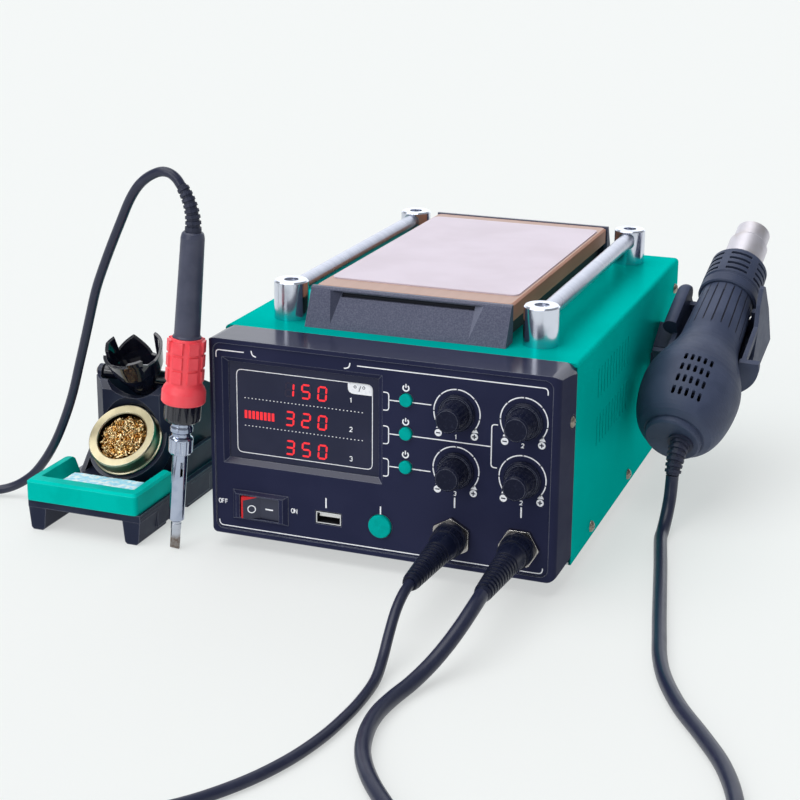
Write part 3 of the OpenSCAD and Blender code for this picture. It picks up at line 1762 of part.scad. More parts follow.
// Bands that hold each coil's turns together
module cord_ties() {
  t = 0.8;
  color([0.1, 0.1, 0.1])
    for (c = [
      [solder_coil_at, solder_coil_d, solder_cord_d, 200],
      [air_coil_at, air_coil_d, air_cord_d, -60]
    ])
      translate(c[0])
        rotate([0, 0, c[3]])
          translate([c[1] / 2, 0, 0])
            difference() {
              block([-c[2] / 2 - t, -2.5, 0], [c[2] / 2 + t, 2.5, 2 * c[2] + t]);
              block([-c[2] / 2, -3, t], [c[2] / 2, 3, 2 * c[2]]);
            }
}

case_cover();
case_base();
rear_panel();
front_bezel();
display_lens();
front_board();
switch_frame();
switch_rocker();
usb_socket();
pump_button();
preheat_button();
air_button();
solder_button();
preheat_knob();
air_volume_knob();
solder_knob();
air_heat_knob();
cord_sockets();
solder_plug();
air_plug();
plate_support();
heater_plate();
plate_mat();
plate_front_cap();
plate_rear_cap();
guide_posts();
guide_rods();
rubber_feet();
screws();
power_inlet();
transformer();
vacuum_pump();
gun_holder();
gun_shell_upper();
gun_shell_lower();
gun_collar();
gun_nozzle();
gun_heater();
gun_fan();
gun_boot();
stand_base();
sponge_tray();
sponge();
brass_tin();
brass_wool();
iron_holder();
iron_handle();
iron_grip();
iron_lock_nut();
iron_barrel_nut();
iron_barrel();
iron_tip();
iron_boot();
solder_cord_iron();
solder_cord_plug();
solder_coil();
air_cord_gun();
air_cord_plug();
air_coil();
cord_ties();
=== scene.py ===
"""Rework station: finishes, cords, screws, printed marks, display, sponge and brass wool."""
import math
import random

import bmesh
import bpy
from mathutils import Matrix, Vector, noise


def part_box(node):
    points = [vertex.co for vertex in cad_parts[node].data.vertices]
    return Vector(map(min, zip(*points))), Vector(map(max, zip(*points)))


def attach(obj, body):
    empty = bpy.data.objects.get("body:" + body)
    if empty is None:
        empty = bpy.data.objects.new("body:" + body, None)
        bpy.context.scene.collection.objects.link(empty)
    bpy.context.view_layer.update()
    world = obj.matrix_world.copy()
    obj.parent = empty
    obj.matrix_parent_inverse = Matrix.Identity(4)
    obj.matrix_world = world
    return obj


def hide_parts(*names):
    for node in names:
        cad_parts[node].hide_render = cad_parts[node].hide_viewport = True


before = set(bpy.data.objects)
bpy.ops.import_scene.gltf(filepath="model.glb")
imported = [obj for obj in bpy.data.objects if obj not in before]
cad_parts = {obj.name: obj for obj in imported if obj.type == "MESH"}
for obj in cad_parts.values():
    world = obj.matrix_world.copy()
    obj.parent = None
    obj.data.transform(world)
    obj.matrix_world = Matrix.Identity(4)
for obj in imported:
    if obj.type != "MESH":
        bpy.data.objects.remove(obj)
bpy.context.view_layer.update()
MM = 0.001


# Camera

CAMERA_AT = (0.2899, -0.8698, 0.3529)
CAMERA_AZIMUTH = math.radians(19.88)
CAMERA_ELEVATION = math.radians(15.94)
CAMERA_ROLL = math.radians(0.62)
CAMERA_LENS = 76.84
CAMERA_SHIFT = (-0.0259, -0.0861)


def make_camera():
    """A camera at the photograph's place, looking along its fitted direction."""
    across = Vector((math.cos(CAMERA_AZIMUTH), math.sin(CAMERA_AZIMUTH), 0))
    back = Vector((
        math.sin(CAMERA_AZIMUTH) * math.cos(CAMERA_ELEVATION),
        -math.cos(CAMERA_AZIMUTH) * math.cos(CAMERA_ELEVATION),
        math.sin(CAMERA_ELEVATION),
    ))
    up = back.cross(across)
    right = math.cos(CAMERA_ROLL) * across + math.sin(CAMERA_ROLL) * up
    top = back.cross(right)
    data = bpy.data.cameras.new("camera")
    data.lens = CAMERA_LENS
    data.sensor_width = 36
    data.shift_x, data.shift_y = CAMERA_SHIFT
    data.clip_start = 0.01
    data.dof.use_dof = False
    camera = bpy.data.objects.new("camera", data)
    turn = Matrix((right, top, back)).transposed().to_4x4()
    camera.matrix_world = Matrix.Translation(CAMERA_AT) @ turn
    bpy.context.scene.collection.objects.link(camera)
    bpy.context.scene.camera = camera


make_camera()


# Shader nodes

class Value:
    """A number that changes over a surface; sums and products of it add Math nodes."""

    def __init__(self, look, socket):
        self.look = look
        self.socket = socket

    def __add__(self, other):
        return self.look.maths("ADD", self, other)

    def __mul__(self, other):
        return self.look.maths("MULTIPLY", self, other)

    def __sub__(self, other):
        return self.look.maths("SUBTRACT", self, other)

    def __rsub__(self, other):
        return self.look.maths("SUBTRACT", other, self)

    def __gt__(self, other):
        return self.look.maths("GREATER_THAN", self, other)

    def __lt__(self, other):
        return self.look.maths("LESS_THAN", self, other)

    __radd__ = __add__
    __rmul__ = __mul__

    def between(self, low, high):
        """0 below low, 1 above high and a smooth step from one to the other."""
        settings = {"interpolation_type": "SMOOTHSTEP"}
        return self.look.node("ShaderNodeMapRange", settings, self, low, high, 0.0, 1.0)


class Nodes:
    """The nodes of one tree."""

    def __init__(self, tree):
        self.nodes = tree.nodes
        self.links = tree.links

    def put(self, socket, value):
        """Links a value to a socket, or sets it there."""
        if isinstance(value, Value):
            self.links.new(value.socket, socket)
        else:
            socket.default_value = value

    def node(self, kind, settings=None, *inputs, out=0, **named):
        """Adds a node: its settings first, then its sockets by place or by name; None skips one."""
        node = self.nodes.new(kind)
        for key, value in (settings or {}).items():
            setattr(node, key, value)
        for socket, value in zip(node.inputs, inputs):
            if value is not None:
                self.put(socket, value)
        for key, value in named.items():
            self.put(node.inputs[key.replace("_", " ")], value)
        return Value(self, node.outputs[out])

    def maths(self, operation, *values):
        return self.node("ShaderNodeMath", {"operation": operation}, *values)


# Sockets of a Mix node between its factor and its two colours
SKIPPED = [None] * 5


class Look(Nodes):
    """A material with one shader, and the nodes that feed it; lengths are in millimetres."""

    def __init__(self, name, color, metal, shine, **fixed):
        self.material = bpy.data.materials.new(name)
        self.material.use_nodes = True
        super().__init__(self.material.node_tree)
        self.shader = self.nodes["Principled BSDF"]
        self.place = self.node("ShaderNodeTexCoord", out="Object")
        self.color = color
        self.feed(Base_Color=(*color, 1), Metallic=metal, Specular_IOR_Level=shine, **fixed)

    def feed(self, **sockets):
        """Links or sets sockets of the shader."""
        for key, value in sockets.items():
            self.put(self.shader.inputs[key.replace("_", " ")], value)
        return self

    def stretched(self, x, y, z):
        """The surface's place with its axes stretched, for streaks and brushed lines."""
        settings = {"operation": "MULTIPLY"}
        return self.node("ShaderNodeVectorMath", settings, self.place, (x, y, z), out="Vector")

    def noise(self, size, detail=3.0, place=None):
        """Cloudy noise whose patches are about size across."""
        sockets = {"Vector": place or self.place, "Scale": 1 / size / MM, "Detail": detail}
        return self.node("ShaderNodeTexNoise", out="Fac", **sockets)

    def cells(self, size):
        """Rounded cells about size across, 0 in their middles."""
        sockets = {"Vector": self.place, "Scale": 1 / size / MM}
        return self.node("ShaderNodeTexVoronoi", out="Distance", **sockets)

    def axis(self, name):
        """One coordinate of the surface's place, in metres."""
        return self.node("ShaderNodeSeparateXYZ", None, self.place, out=name)

    def flat(self):
        """The face's own normal."""
        return self.node("ShaderNodeNewGeometry", out="Normal")

    def facing(self, axis="Z"):
        """How far a face looks along an axis: 1 along it, 0 across it and -1 against it."""
        return self.node("ShaderNodeSeparateXYZ", None, self.flat(), out=axis)

    def facing_up(self, low, high):
        """0 on walls and 1 on faces that look up."""
        return self.facing().between(low, high)

    def soft_edges(self, radius):
        """Normals that round off sharp edges by radius."""
        return self.node("ShaderNodeBevel", {"samples": 4}, radius * MM, out="Normal")

    def edge_line(self, radius):
        """1 along sharp edges and 0 elsewhere, from how far a rounded normal leans there."""
        settings = {"operation": "DOT_PRODUCT"}
        sides = (self.soft_edges(radius), self.flat())
        return 1 - self.node("ShaderNodeVectorMath", settings, *sides, out="Value")

    def blend(self, mask, first, second):
        """The first colour where mask is 0, the second where it is 1."""
        colors = [c if isinstance(c, Value) else (*c, 1) for c in (first, second)]
        return self.node("ShaderNodeMix", {"data_type": "RGBA"}, mask, *SKIPPED, *colors, out=2)

    def paint(self, mask, color):
        """Lays a colour over the finish where mask is 1."""
        self.color = self.blend(mask, self.color, color)
        return self.feed(Base_Color=self.color)

    def cloud(self, color, size, low=0.42, high=0.62):
        """Soft patches of a second shade of the same finish."""
        return self.paint(self.noise(size).between(low, high), color)

    def paint_edge_highlight(self, color, radius, low, high):
        """A paler shade along sharp edges: a painted edge highlight."""
        return self.paint(self.edge_line(radius).between(low, high), color)

    def dull(self, rough, spread, size, detail=3.0):
        """Roughness that rises from rough by up to spread, in patches."""
        return self.feed(Roughness=rough + spread * self.noise(size, detail))

    def bump(self, height, depth, strength, edges=None):
        """Raises the surface by up to depth where height is 1, and may round its edges."""
        sockets = {"Height": height, "Distance": depth * MM, "Strength": strength}
        if edges:
            sockets["Normal"] = self.soft_edges(edges)
        return self.feed(Normal=self.node("ShaderNodeBump", None, out="Normal", **sockets))

    def grain(self, size, depth, strength, edges=None, detail=2.0):
        """Fine noise raised on the surface."""
        return self.bump(self.noise(size, detail), depth, strength, edges)


# Finishes

def finish(color, metal=0.0, shine=0.5, **fixed):
    """Makes a function a finish: it is handed a new look of this colour, named after it."""
    def hand_look(work):
        def make():
            look = Look(work.__name__, color, metal, shine, **fixed)
            work(look)
            return look
        return make
    return hand_look


CASE_TOP = 113
SIDE_X = 94 * MM
SKIN = 0.15 * MM
REAR_Y = 125 * MM


@finish((0.0, 0.48, 0.425), 0.3, shine=0.0, Specular_Tint=(0.0, 0.7, 0.65, 1))
def case_paint(look):
    """Teal enamel with a fine orange-peel skin, its gloss tinted by the paint; painted shade on the
    walls of its slits.
    """
    look.cloud((0.0, 0.455, 0.4), 60)
    # Painted shade inside the cover, below its top and ahead of the rear panel: the walls of the
    # slits.
    inside = look.maths("ABSOLUTE", look.axis("X")) < SIDE_X - SKIN
    below = look.axis("Z") < (CASE_TOP - 2) * MM
    ahead = look.axis("Y") < REAR_Y
    look.paint(inside * below * (1 - look.facing_up(0.5, 0.8)) * ahead, (0.0, 0.1, 0.09))
    look.dull(0.28, 0.12, 20).grain(1.1, 0.03, 0.4, 0.6)


@finish((0.5, 0.51, 0.53), 1.0)
def zinc_sheet(look):
    spangle = look.cells(12)
    look.paint(spangle, (0.64, 0.65, 0.66)).feed(Roughness=0.3 + 0.25 * spangle)
    look.grain(4, 0.03, 0.4, detail=3.0)


@finish((0.021, 0.024, 0.058), shine=0.02, Coat_Roughness=0.16)
def panel_moulding(look):
    """Near-black navy plastic of the front: glossy on top and on its slopes, with painted
    highlights along its edges.
    """
    look.cloud((0.025, 0.028, 0.065), 50).paint_edge_highlight((0.2, 0.215, 0.27), 0.6, 0.012, 0.12)
    wipes = look.noise(10, 4.0, look.stretched(0.35, 1.0, 1.6))
    gloss = 0.9 * look.facing_up(0.15, 0.3) - 0.2 * look.facing_up(0.6, 0.9)
    look.feed(Roughness=0.33 + 0.13 * wipes, Coat_Weight=gloss)
    look.grain(0.6, 0.012, 0.4, 0.5)


@finish((0.014, 0.017, 0.045), shine=0.22)
def display_window(look):
    """Smoked navy window, smooth, with the faintest haze of wiping."""
    look.cloud((0.018, 0.021, 0.052), 30).dull(0.12, 0.1, 30)


@finish((0.008, 0.06, 0.02), Roughness=0.4)
def circuit_board(look):
    tracks = look.noise(4, 1.0, look.stretched(1.0, 1.0, 0.25)) > 0.52
    look.paint(tracks, (0.02, 0.11, 0.045)).bump(tracks, 0.04, 0.6)


@finish((0.006, 0.007, 0.016), shine=0.75)
def gloss_black(look):
    look.dull(0.035, 0.05, 8, 4.0).grain(3, 0.01, 0.2, 0.6)


# The rocker's red side and red upper wedge: how far left they lie, and the wedge's lower line
RED_SIDE = 0.0724
RED_WEDGE = 0.0646
RED_WEDGE_FOOT = 0.0286
RED_WEDGE_RISE = 0.24


@finish((0.03, 0.034, 0.062), shine=0.35)
def rocker_face(look):
    """Black rocker face whose red body shows along its left and upper left edges."""
    x, z = look.axis("X"), look.axis("Z")
    over = z - RED_WEDGE_FOOT - (x + RED_SIDE) * RED_WEDGE_RISE
    wedge = (over > 0.0) * (x < -RED_WEDGE)
    red = look.blend(look.noise(6), (0.75, 0.012, 0.02), (0.6, 0.006, 0.012))
    look.paint(look.maths("MAXIMUM", x < -RED_SIDE, wedge), red)
    look.dull(0.24, 0.12, 4).grain(2, 0.01, 0.3, 0.5)


@finish((0.46, 0.44, 0.42), 1.0)
def nickel(look):
    """Plating of the nuts: dull flats, with painted highlights along the chamfered edges."""
    look.paint(look.noise(6), (0.3, 0.28, 0.27)).paint_edge_highlight((1.0, 0.96, 0.9), 0.4, 0.02, 0.12)
    look.dull(0.16, 0.14, 3, 2.0).grain(1.2, 0.004, 0.3, 0.3)


# The small socket's mouth and the tongue in it, in metres
MOUTH_Y = (-0.1292, -0.1284)
TONGUE_X = (-0.0321, -0.0207)
TONGUE_Z = (0.0243, 0.0263)


@finish((0.95, 0.95, 0.96))
def socket_shell(look):
    """Bright sheet shell of the small socket, with painted shade inside its mouth around its white
    tongue.
    """
    look.paint(look.noise(3), (0.7, 0.7, 0.73))
    # Painted shade deeper than the mouth, except on the white tongue; the metal is turned off there
    # too.
    depth = look.axis("Y").between(*MOUTH_Y)
    across, height = look.axis("X"), look.axis("Z")
    tongue = (height > TONGUE_Z[0]) * (height < TONGUE_Z[1])
    tongue = tongue * (across > TONGUE_X[0]) * (across < TONGUE_X[1])
    look.paint(depth, look.blend(tongue, (0.02, 0.02, 0.025), (0.9, 0.9, 0.88)))
    look.feed(Metallic=1 - depth, Roughness=0.18 + 0.2 * depth)
    look.grain(1, 0.004, 0.3, detail=3.0)


@finish((0.006, 0.009, 0.026), shine=0.22)
def plug_rubber(look):
    look.cloud((0.011, 0.014, 0.034), 12).dull(0.2, 0.18, 6)
    look.grain(0.8, 0.02, 0.4, 0.4, detail=3.0)


@finish((0.012, 0.012, 0.014))
def insulator(look):
    look.dull(0.5, 0.2, 5).grain(1.2, 0.06, 0.6, detail=3.0)


@finish((0.5, 0.2, 0.12), shine=0.1)
def copper_plate(look):
    """Copper-brown plate: brushed, paler and pinker on top than on its sides, with painted
    highlights along its edges.
    """
    streaks = look.noise(4, 3.0, look.stretched(1.0, 0.1, 0.5))
    brushed = streaks.between(0.3, 0.75)
    look.paint(brushed, (0.58, 0.25, 0.16))
    top = look.blend(brushed, (0.5, 0.335, 0.28), (0.54, 0.37, 0.315))
    look.paint(look.facing_up(0.6, 0.9), top)
    look.paint_edge_highlight((0.72, 0.36, 0.15), 0.7, 0.03, 0.2)
    look.feed(Roughness=0.36 + 0.14 * streaks).bump(streaks, 0.006, 0.3, 0.6)


@finish((0.7, 0.62, 0.7), shine=0.1)
def mat_sheet(look):
    """Pale rose heat-proof sheet, satin, slightly uneven in tone."""
    look.cloud((0.64, 0.56, 0.63), 45, 0.35, 0.7)
    look.dull(0.36, 0.14, 10).grain(1.2, 0.01, 0.3)


# The front cap's slot, in millimetres from the cap's top and across, and its sloping face
SLOT_BELOW_TOP = (4.6, 2.5)
SLOT_X = (-37.3, 34.5)
CAP_FACE = 94.5
CAP_FACE_RUN = 0.5


@finish((0.072, 0.078, 0.13), shine=0.25, Coat_Roughness=0.35)
def cap_moulding(look):
    """Dark grey-blue cover with a sparkling spark-eroded grain; painted shade in its slot, painted
    shade on facets that face right, painted light on facets that face left, and painted highlights
    along its edges.
    """
    grain = look.noise(0.7, 2.0)
    look.paint(grain.between(0.36, 0.7), (0.122, 0.129, 0.19))
    right = look.facing("X")
    # Painted shade on the facets that face right and painted light on those that face left.
    for lean, share, shade in (
        (right, 0.75, (0.02, 0.024, 0.05)), (0 - right, 0.5, (0.2, 0.21, 0.28)),
    ):
        look.paint(share * (lean.between(0.08, 0.2) - lean.between(0.6, 0.8)), shade)
    look.paint_edge_highlight((0.2, 0.21, 0.29), 0.7, 0.02, 0.16)
    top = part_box("plate_front_cap")[1][2]
    height, across = look.axis("Z"), look.axis("X")
    slot = (height > top - SLOT_BELOW_TOP[0] * MM) * (height < top - SLOT_BELOW_TOP[1] * MM)
    slot = slot * (across > SLOT_X[0] * MM) * (across < SLOT_X[1] * MM)
    sunk = look.axis("Y") + CAP_FACE * MM - (height - CASE_TOP * MM) * CAP_FACE_RUN
    # Painted shade in the slot, where it lies sunk behind the cap's sloping face.
    look.paint(slot * (sunk > 0.6 * MM), (0.008, 0.01, 0.018))
    look.feed(Roughness=0.46 + 0.2 * grain, Coat_Weight=0.35 * look.facing_up(0.6, 0.9))
    look.bump(grain, 0.06, 0.6, 0.6)


@finish((0.66, 0.69, 0.78), 1.0)
def polished_steel(look):
    """Turned posts, polished, with faint lines round them and finger haze."""
    haze = look.noise(12).between(0.45, 0.75)
    look.paint(haze, (0.54, 0.57, 0.65)).feed(Roughness=0.15 + 0.1 * haze)
    lines = look.noise(0.6, 2.0, look.stretched(0.2, 0.2, 1.0))
    look.bump(lines, 0.003, 0.3, 0.4)


@finish((0.5, 0.52, 0.6), 1.0)
def rod_steel(look):
    """Ground rods: satin, a shade darker than the posts, with faint rings from grinding."""
    rings = look.noise(1.2, 2.0, look.stretched(0.05, 1.0, 0.05))
    look.paint(rings.between(0.3, 0.7), (0.42, 0.44, 0.52))
    look.dull(0.24, 0.08, 30).bump(rings, 0.002, 0.2)


@finish((0.012, 0.012, 0.012))
def foot_rubber(look):
    look.dull(0.62, 0.2, 4).grain(0.7, 0.05, 0.6, detail=3.0)


@finish((0.4, 0.36, 0.3), 1.0)
def plated_screw(look):
    # Patches of a darker tone, with painted highlights along the edges.
    look.paint(look.noise(1.5), (0.16, 0.13, 0.1)).paint_edge_highlight((0.95, 0.9, 0.78), 0.3, 0.02, 0.14)
    look.dull(0.18, 0.25, 1).grain(0.5, 0.01, 0.5, 0.2, detail=3.0)


@finish((0.06, 0.06, 0.065), 0.8)
def core_plates(look):
    """Edges of the stacked plates of a transformer's core."""
    stack = look.noise(0.8, 0.0, look.stretched(0.01, 1.0, 0.01))
    look.paint(stack, (0.3, 0.29, 0.28)).feed(Roughness=0.35 + 0.3 * stack)
    look.bump(stack, 0.1, 0.6)


@finish((0.5, 0.51, 0.52), 1.0)
def pump_can(look):
    look.dull(0.24, 0.2, 4).grain(1, 0.01, 0.4)


def leathery(look):
    """The fine leather-like grain of the gun's plastic."""
    look.dull(0.42, 0.18, 4).bump(look.cells(1.1), 0.06, 0.6, 0.4)


@finish((0.037, 0.049, 0.094), shine=0.3)
def holder_moulding(look):
    """The gun's plastic without grooves: dark navy-grey with painted highlights along its edges."""
    look.cloud((0.05, 0.064, 0.115), 20).paint_edge_highlight((0.1, 0.115, 0.17), 0.6, 0.02, 0.2)
    leathery(look)


GUN_AT = (121.7 * MM, -4.1 * MM, 43.8 * MM)
GUN_TURN = math.radians(-5.6)
GUN_LEAN = math.radians(59.7)
GUN_ROLL = math.radians(15)
# Grooves in the gun's neck: how many, and where they start and end along its axis
GROOVES = 20
GROOVES_FROM = (0.0775, 0.079)
GROOVES_TO = (0.109, 0.111)


@finish((0.04, 0.053, 0.1), shine=0.3)
def gun_moulding(look):
    """Dark navy-grey heat-proof plastic with painted shade in the grooves of its neck."""
    settings = {"operation": "SUBTRACT"}
    place = look.node("ShaderNodeVectorMath", settings, look.place, GUN_AT, out="Vector")
    for axis, angle in (("Z_AXIS", -GUN_TURN), ("X_AXIS", GUN_LEAN)):
        settings = {"rotation_type": axis}
        place = look.node("ShaderNodeVectorRotate", settings, Vector=place, Angle=angle)
    x, y, along = (look.node("ShaderNodeSeparateXYZ", None, place, out=name) for name in "XYZ")
    wave = look.maths("COSINE", GROOVES * (look.maths("ARCTAN2", y, x) - GUN_ROLL) + math.pi)
    # Painted shade in the grooves of the neck.
    groove_shade = wave.between(0.78, 0.97) * along.between(*GROOVES_FROM)
    groove_shade = groove_shade * (1 - along.between(*GROOVES_TO))
    look.cloud((0.053, 0.068, 0.122), 20).paint(groove_shade, (0.006, 0.008, 0.02))
    leathery(look)


@finish((0.66, 0.64, 0.69), 1.0)
def hot_steel(look):
    """Bead-blasted stainless nozzle, dulled by heat, with a straw tint in patches."""
    look.cloud((0.58, 0.54, 0.54), 12, 0.4, 0.75)
    look.dull(0.44, 0.14, 2, 4.0).grain(0.5, 0.01, 0.5, 0.3, detail=3.0)


@finish((0.44, 0.49, 0.61), 1.0)
def barrel_chrome(look):
    """Polished chrome of the iron's barrel and nut, blued a little in patches, with painted
    highlights along its edges.
    """
    look.cloud((0.32, 0.37, 0.49), 10, 0.4, 0.7)
    look.paint_edge_highlight((0.9, 0.92, 0.95), 0.3, 0.03, 0.15)
    look.dull(0.06, 0.07, 3).grain(0.6, 0.003, 0.3, 0.3)


@finish((0.74, 0.7, 0.62))
def ceramic(look):
    look.cloud((0.6, 0.54, 0.46), 4)
    look.dull(0.68, 0.15, 1).grain(0.6, 0.05, 0.6, detail=3.0)


@finish((0.019, 0.023, 0.048), shine=0.35)
def boot_rubber(look):
    look.cloud((0.028, 0.032, 0.062), 6)
    look.dull(0.42, 0.2, 4).grain(0.6, 0.03, 0.4, detail=3.0)


@finish((0.017, 0.022, 0.047), shine=0.1, Coat_Roughness=0.2)
def stand_moulding(look):
    # Painted highlights along the edges.
    look.cloud((0.025, 0.031, 0.058), 20).paint_edge_highlight((0.17, 0.18, 0.23), 0.8, 0.015, 0.14)
    look.dull(0.27, 0.18, 6).feed(Coat_Weight=0.5 * look.facing_up(0.1, 0.4))
    look.grain(0.9, 0.03, 0.4, 0.6)


@finish((0.0, 0.53, 0.455), 0.15, shine=0.02, Specular_Tint=(0.0, 0.8, 0.7, 1))
def tray_moulding(look):
    # Painted highlights along the edges.
    look.cloud((0.0, 0.48, 0.41), 15).paint_edge_highlight((0.03, 0.72, 0.62), 1, 0.02, 0.2)
    look.dull(0.34, 0.14, 5).grain(0.9, 0.03, 0.5, 0.8)


@finish((0.42, 0.82, 1.0))
def sponge_cells(look):
    """Pale sky-blue cellulose with torn cell walls and deeper blue pores."""
    pores = look.cells(1.6)
    look.paint(look.noise(3, 4.0).between(0.42, 0.62), (0.86, 0.99, 1.0))
    look.feed(Roughness=0.82 + 0.15 * pores)
    look.bump(pores - 0.6 * look.noise(0.7), 0.4, 0.8)


@finish((0.46, 0.41, 0.27), 1.0)
def tin_shell(look):
    """Spun tin lacquered olive-gold, with painted highlights along its rims."""
    look.cloud((0.38, 0.34, 0.22), 10, 0.4, 0.65)
    look.paint_edge_highlight((0.9, 0.88, 0.8), 0.6, 0.04, 0.24)
    look.dull(0.24, 0.12, 4, 2.0).grain(3, 0.006, 0.3, 0.4)


def crinkled(look):
    """The gloss and the fine crinkles of brass shavings."""
    look.dull(0.07, 0.12, 1).grain(0.4, 0.02, 0.5, detail=3.0)


@finish((1.0, 0.8, 0.46), 1.0)
def brass_shavings(look):
    crinkled(look.cloud((0.85, 0.46, 0.12), 4, 0.4, 0.65))


@finish((0.03, 0.014, 0.004), 1.0)
def shavings_shade(look):
    """Painted shade between the curls: dark brass, paler in patches."""
    crinkled(look.paint(look.noise(1.2), (0.3, 0.15, 0.04)))


@finish((0.044, 0.05, 0.09), shine=0.45)
def handle_moulding(look):
    look.cloud((0.056, 0.062, 0.105), 10)
    look.dull(0.33, 0.16, 4).grain(0.6, 0.02, 0.4, 0.4)


@finish((1.0, 0.085, 0.11))
def grip_silicone(look):
    """Soft red silicone with a slight bloom and finger shine on the pads."""
    look.cloud((0.98, 0.06, 0.085), 6, 0.4, 0.7)
    look.dull(0.34, 0.2, 4).grain(0.7, 0.03, 0.5, 0.7)


# Heights between which the tip turns from bright to worn
WORN_TIP = (0.0095, 0.0055)


@finish((0.5, 0.53, 0.6), 1.0)
def tip_iron(look):
    """Plated tip: bright shank, oxide-brown where the solder has worked at its end."""
    worn = look.axis("Z").between(*WORN_TIP)
    oxide = look.noise(2).between(0.4, 0.66)
    look.paint(worn, look.blend(oxide, (0.26, 0.24, 0.23), (0.16, 0.12, 0.1)))
    look.feed(Roughness=0.1 + 0.3 * worn).grain(0.7, 0.01, 0.4, 0.3, detail=3.0)


@finish((0.0, 0.4, 0.36), shine=0.02)
def button_green(look):
    look.cloud((0.0, 0.365, 0.325), 3)
    look.dull(0.34, 0.15, 2).grain(0.5, 0.01, 0.3, 0.4)


@finish((0.008, 0.01, 0.026), shine=0.1)
def knob_moulding(look):
    """Glossy black of the knobs with dust in its flutes, and painted highlights along its edges and
    rim.
    """
    look.paint(look.noise(1.6, 4.0).between(0.55, 0.75), (0.02, 0.023, 0.045))
    look.paint_edge_highlight((0.2, 0.215, 0.28), 0.4, 0.02, 0.16)
    look.dull(0.16, 0.2, 3, 4.0).grain(0.7, 0.01, 0.3, 0.3)


@finish((0.014, 0.018, 0.046), shine=0.45)
def cord_sheath(look):
    """Soft black sheath with a slight bloom and rub marks."""
    look.paint(look.noise(8, 4.0).between(0.5, 0.75), (0.022, 0.026, 0.056))
    look.dull(0.24, 0.16, 4).grain(0.9, 0.01, 0.3, detail=3.0)


@finish((0.95, 0.96, 1.0))
def print_white(look):
    """Screen-printed white ink, slightly uneven."""
    thin = look.noise(1.2).between(0.45, 0.75)
    look.paint(thin, (0.8, 0.82, 0.88)).feed(Roughness=0.45 + 0.15 * thin)


@finish((0.6, 0.01, 0.015), Roughness=0.3, Emission_Strength=0.75)
def lit_red(look):
    """Lit segments of the display."""
    glow = look.noise(2, 1.0)
    look.feed(Emission_Color=look.blend(glow, (1.0, 0.015, 0.03), (0.88, 0.01, 0.02)))


@finish((0.022, 0.02, 0.046), Roughness=0.3, shine=0.22)
def unlit_segment(look):
    look.cloud((0.026, 0.022, 0.05), 3)


@finish((0.36, 0.37, 0.365), shine=0.0, Emission_Strength=0.55)
def floor_paper(look):
    """White table that is lit a little from below, so the shadows on it stay pale."""
    look.dull(0.9, 0.08, 200).feed(Emission_Color=(0.945, 0.965, 0.955, 1))


FINISHES = {
    "case_cover rear_panel": case_paint,
    "case_base": zinc_sheet,
    "front_bezel switch_frame": panel_moulding,
    "display_lens": display_window,
    "front_board": circuit_board,
    "power_inlet iron_holder iron_lock_nut": gloss_black,
    "switch_rocker": rocker_face,
    "usb_socket": socket_shell,
    "cord_sockets": nickel,
    "solder_plug air_plug": plug_rubber,
    "plate_support": insulator,
    "heater_plate": copper_plate,
    "plate_mat": mat_sheet,
    "plate_front_cap plate_rear_cap": cap_moulding,
    "guide_posts": polished_steel,
    "guide_rods": rod_steel,
    "rubber_feet": foot_rubber,
    "screws": plated_screw,
    "transformer": core_plates,
    "vacuum_pump": pump_can,
    "gun_holder gun_collar gun_fan": holder_moulding,
    "gun_shell_upper gun_shell_lower": gun_moulding,
    "gun_nozzle": hot_steel,
    "iron_barrel iron_barrel_nut": barrel_chrome,
    "gun_heater": ceramic,
    "gun_boot iron_boot cord_ties": boot_rubber,
    "stand_base": stand_moulding,
    "sponge_tray": tray_moulding,
    "brass_tin": tin_shell,
    "iron_handle": handle_moulding,
    "iron_grip": grip_silicone,
    "iron_tip": tip_iron,
    "pump_button preheat_button air_button solder_button": button_green,
    "preheat_knob air_volume_knob solder_knob air_heat_knob": knob_moulding,
}


def dress_cad_nodes():
    """Gives each solid its finish."""
    for names, make_look in FINISHES.items():
        material = make_look().material
        for name in names.split():
            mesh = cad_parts[name].data
            mesh.materials.clear()
            mesh.materials.append(material)


# Pieces made of meshes

def new_piece(mesh, material, body):
    """Links a mesh as a piece of the same name that rides on a body."""
    piece = bpy.data.objects.new(mesh.name, mesh)
    mesh.materials.append(material)
    bpy.context.scene.collection.objects.link(piece)
    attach(piece, body)
    return piece


def mesh_of(name, points, faces, smooth=False):
    mesh = bpy.data.meshes.new(name)
    mesh.from_pydata(points, [], faces)
    mesh.update()
    if smooth:
        mesh.shade_smooth()
    return mesh


# Cords

SOLDER_CORD = 5 * MM
AIR_CORD = 7 * MM
# Each coil's middle, where it starts and how far it turns, in degrees
SOLDER_COIL = (Vector((-272, -163, 0)) * MM, 124, 506)
AIR_COIL = (Vector((175, -372, 0)) * MM, 0, -495)
# A coil's width in cords, and the points in one of its turns
COIL_ACROSS = 11
COIL_STEPS = 14
# Degrees over which a cord climbs onto its own first turn
CLIMB = 84
CURVE_STEPS = 5

# Routes in millimetres; a point without a height lies on the table

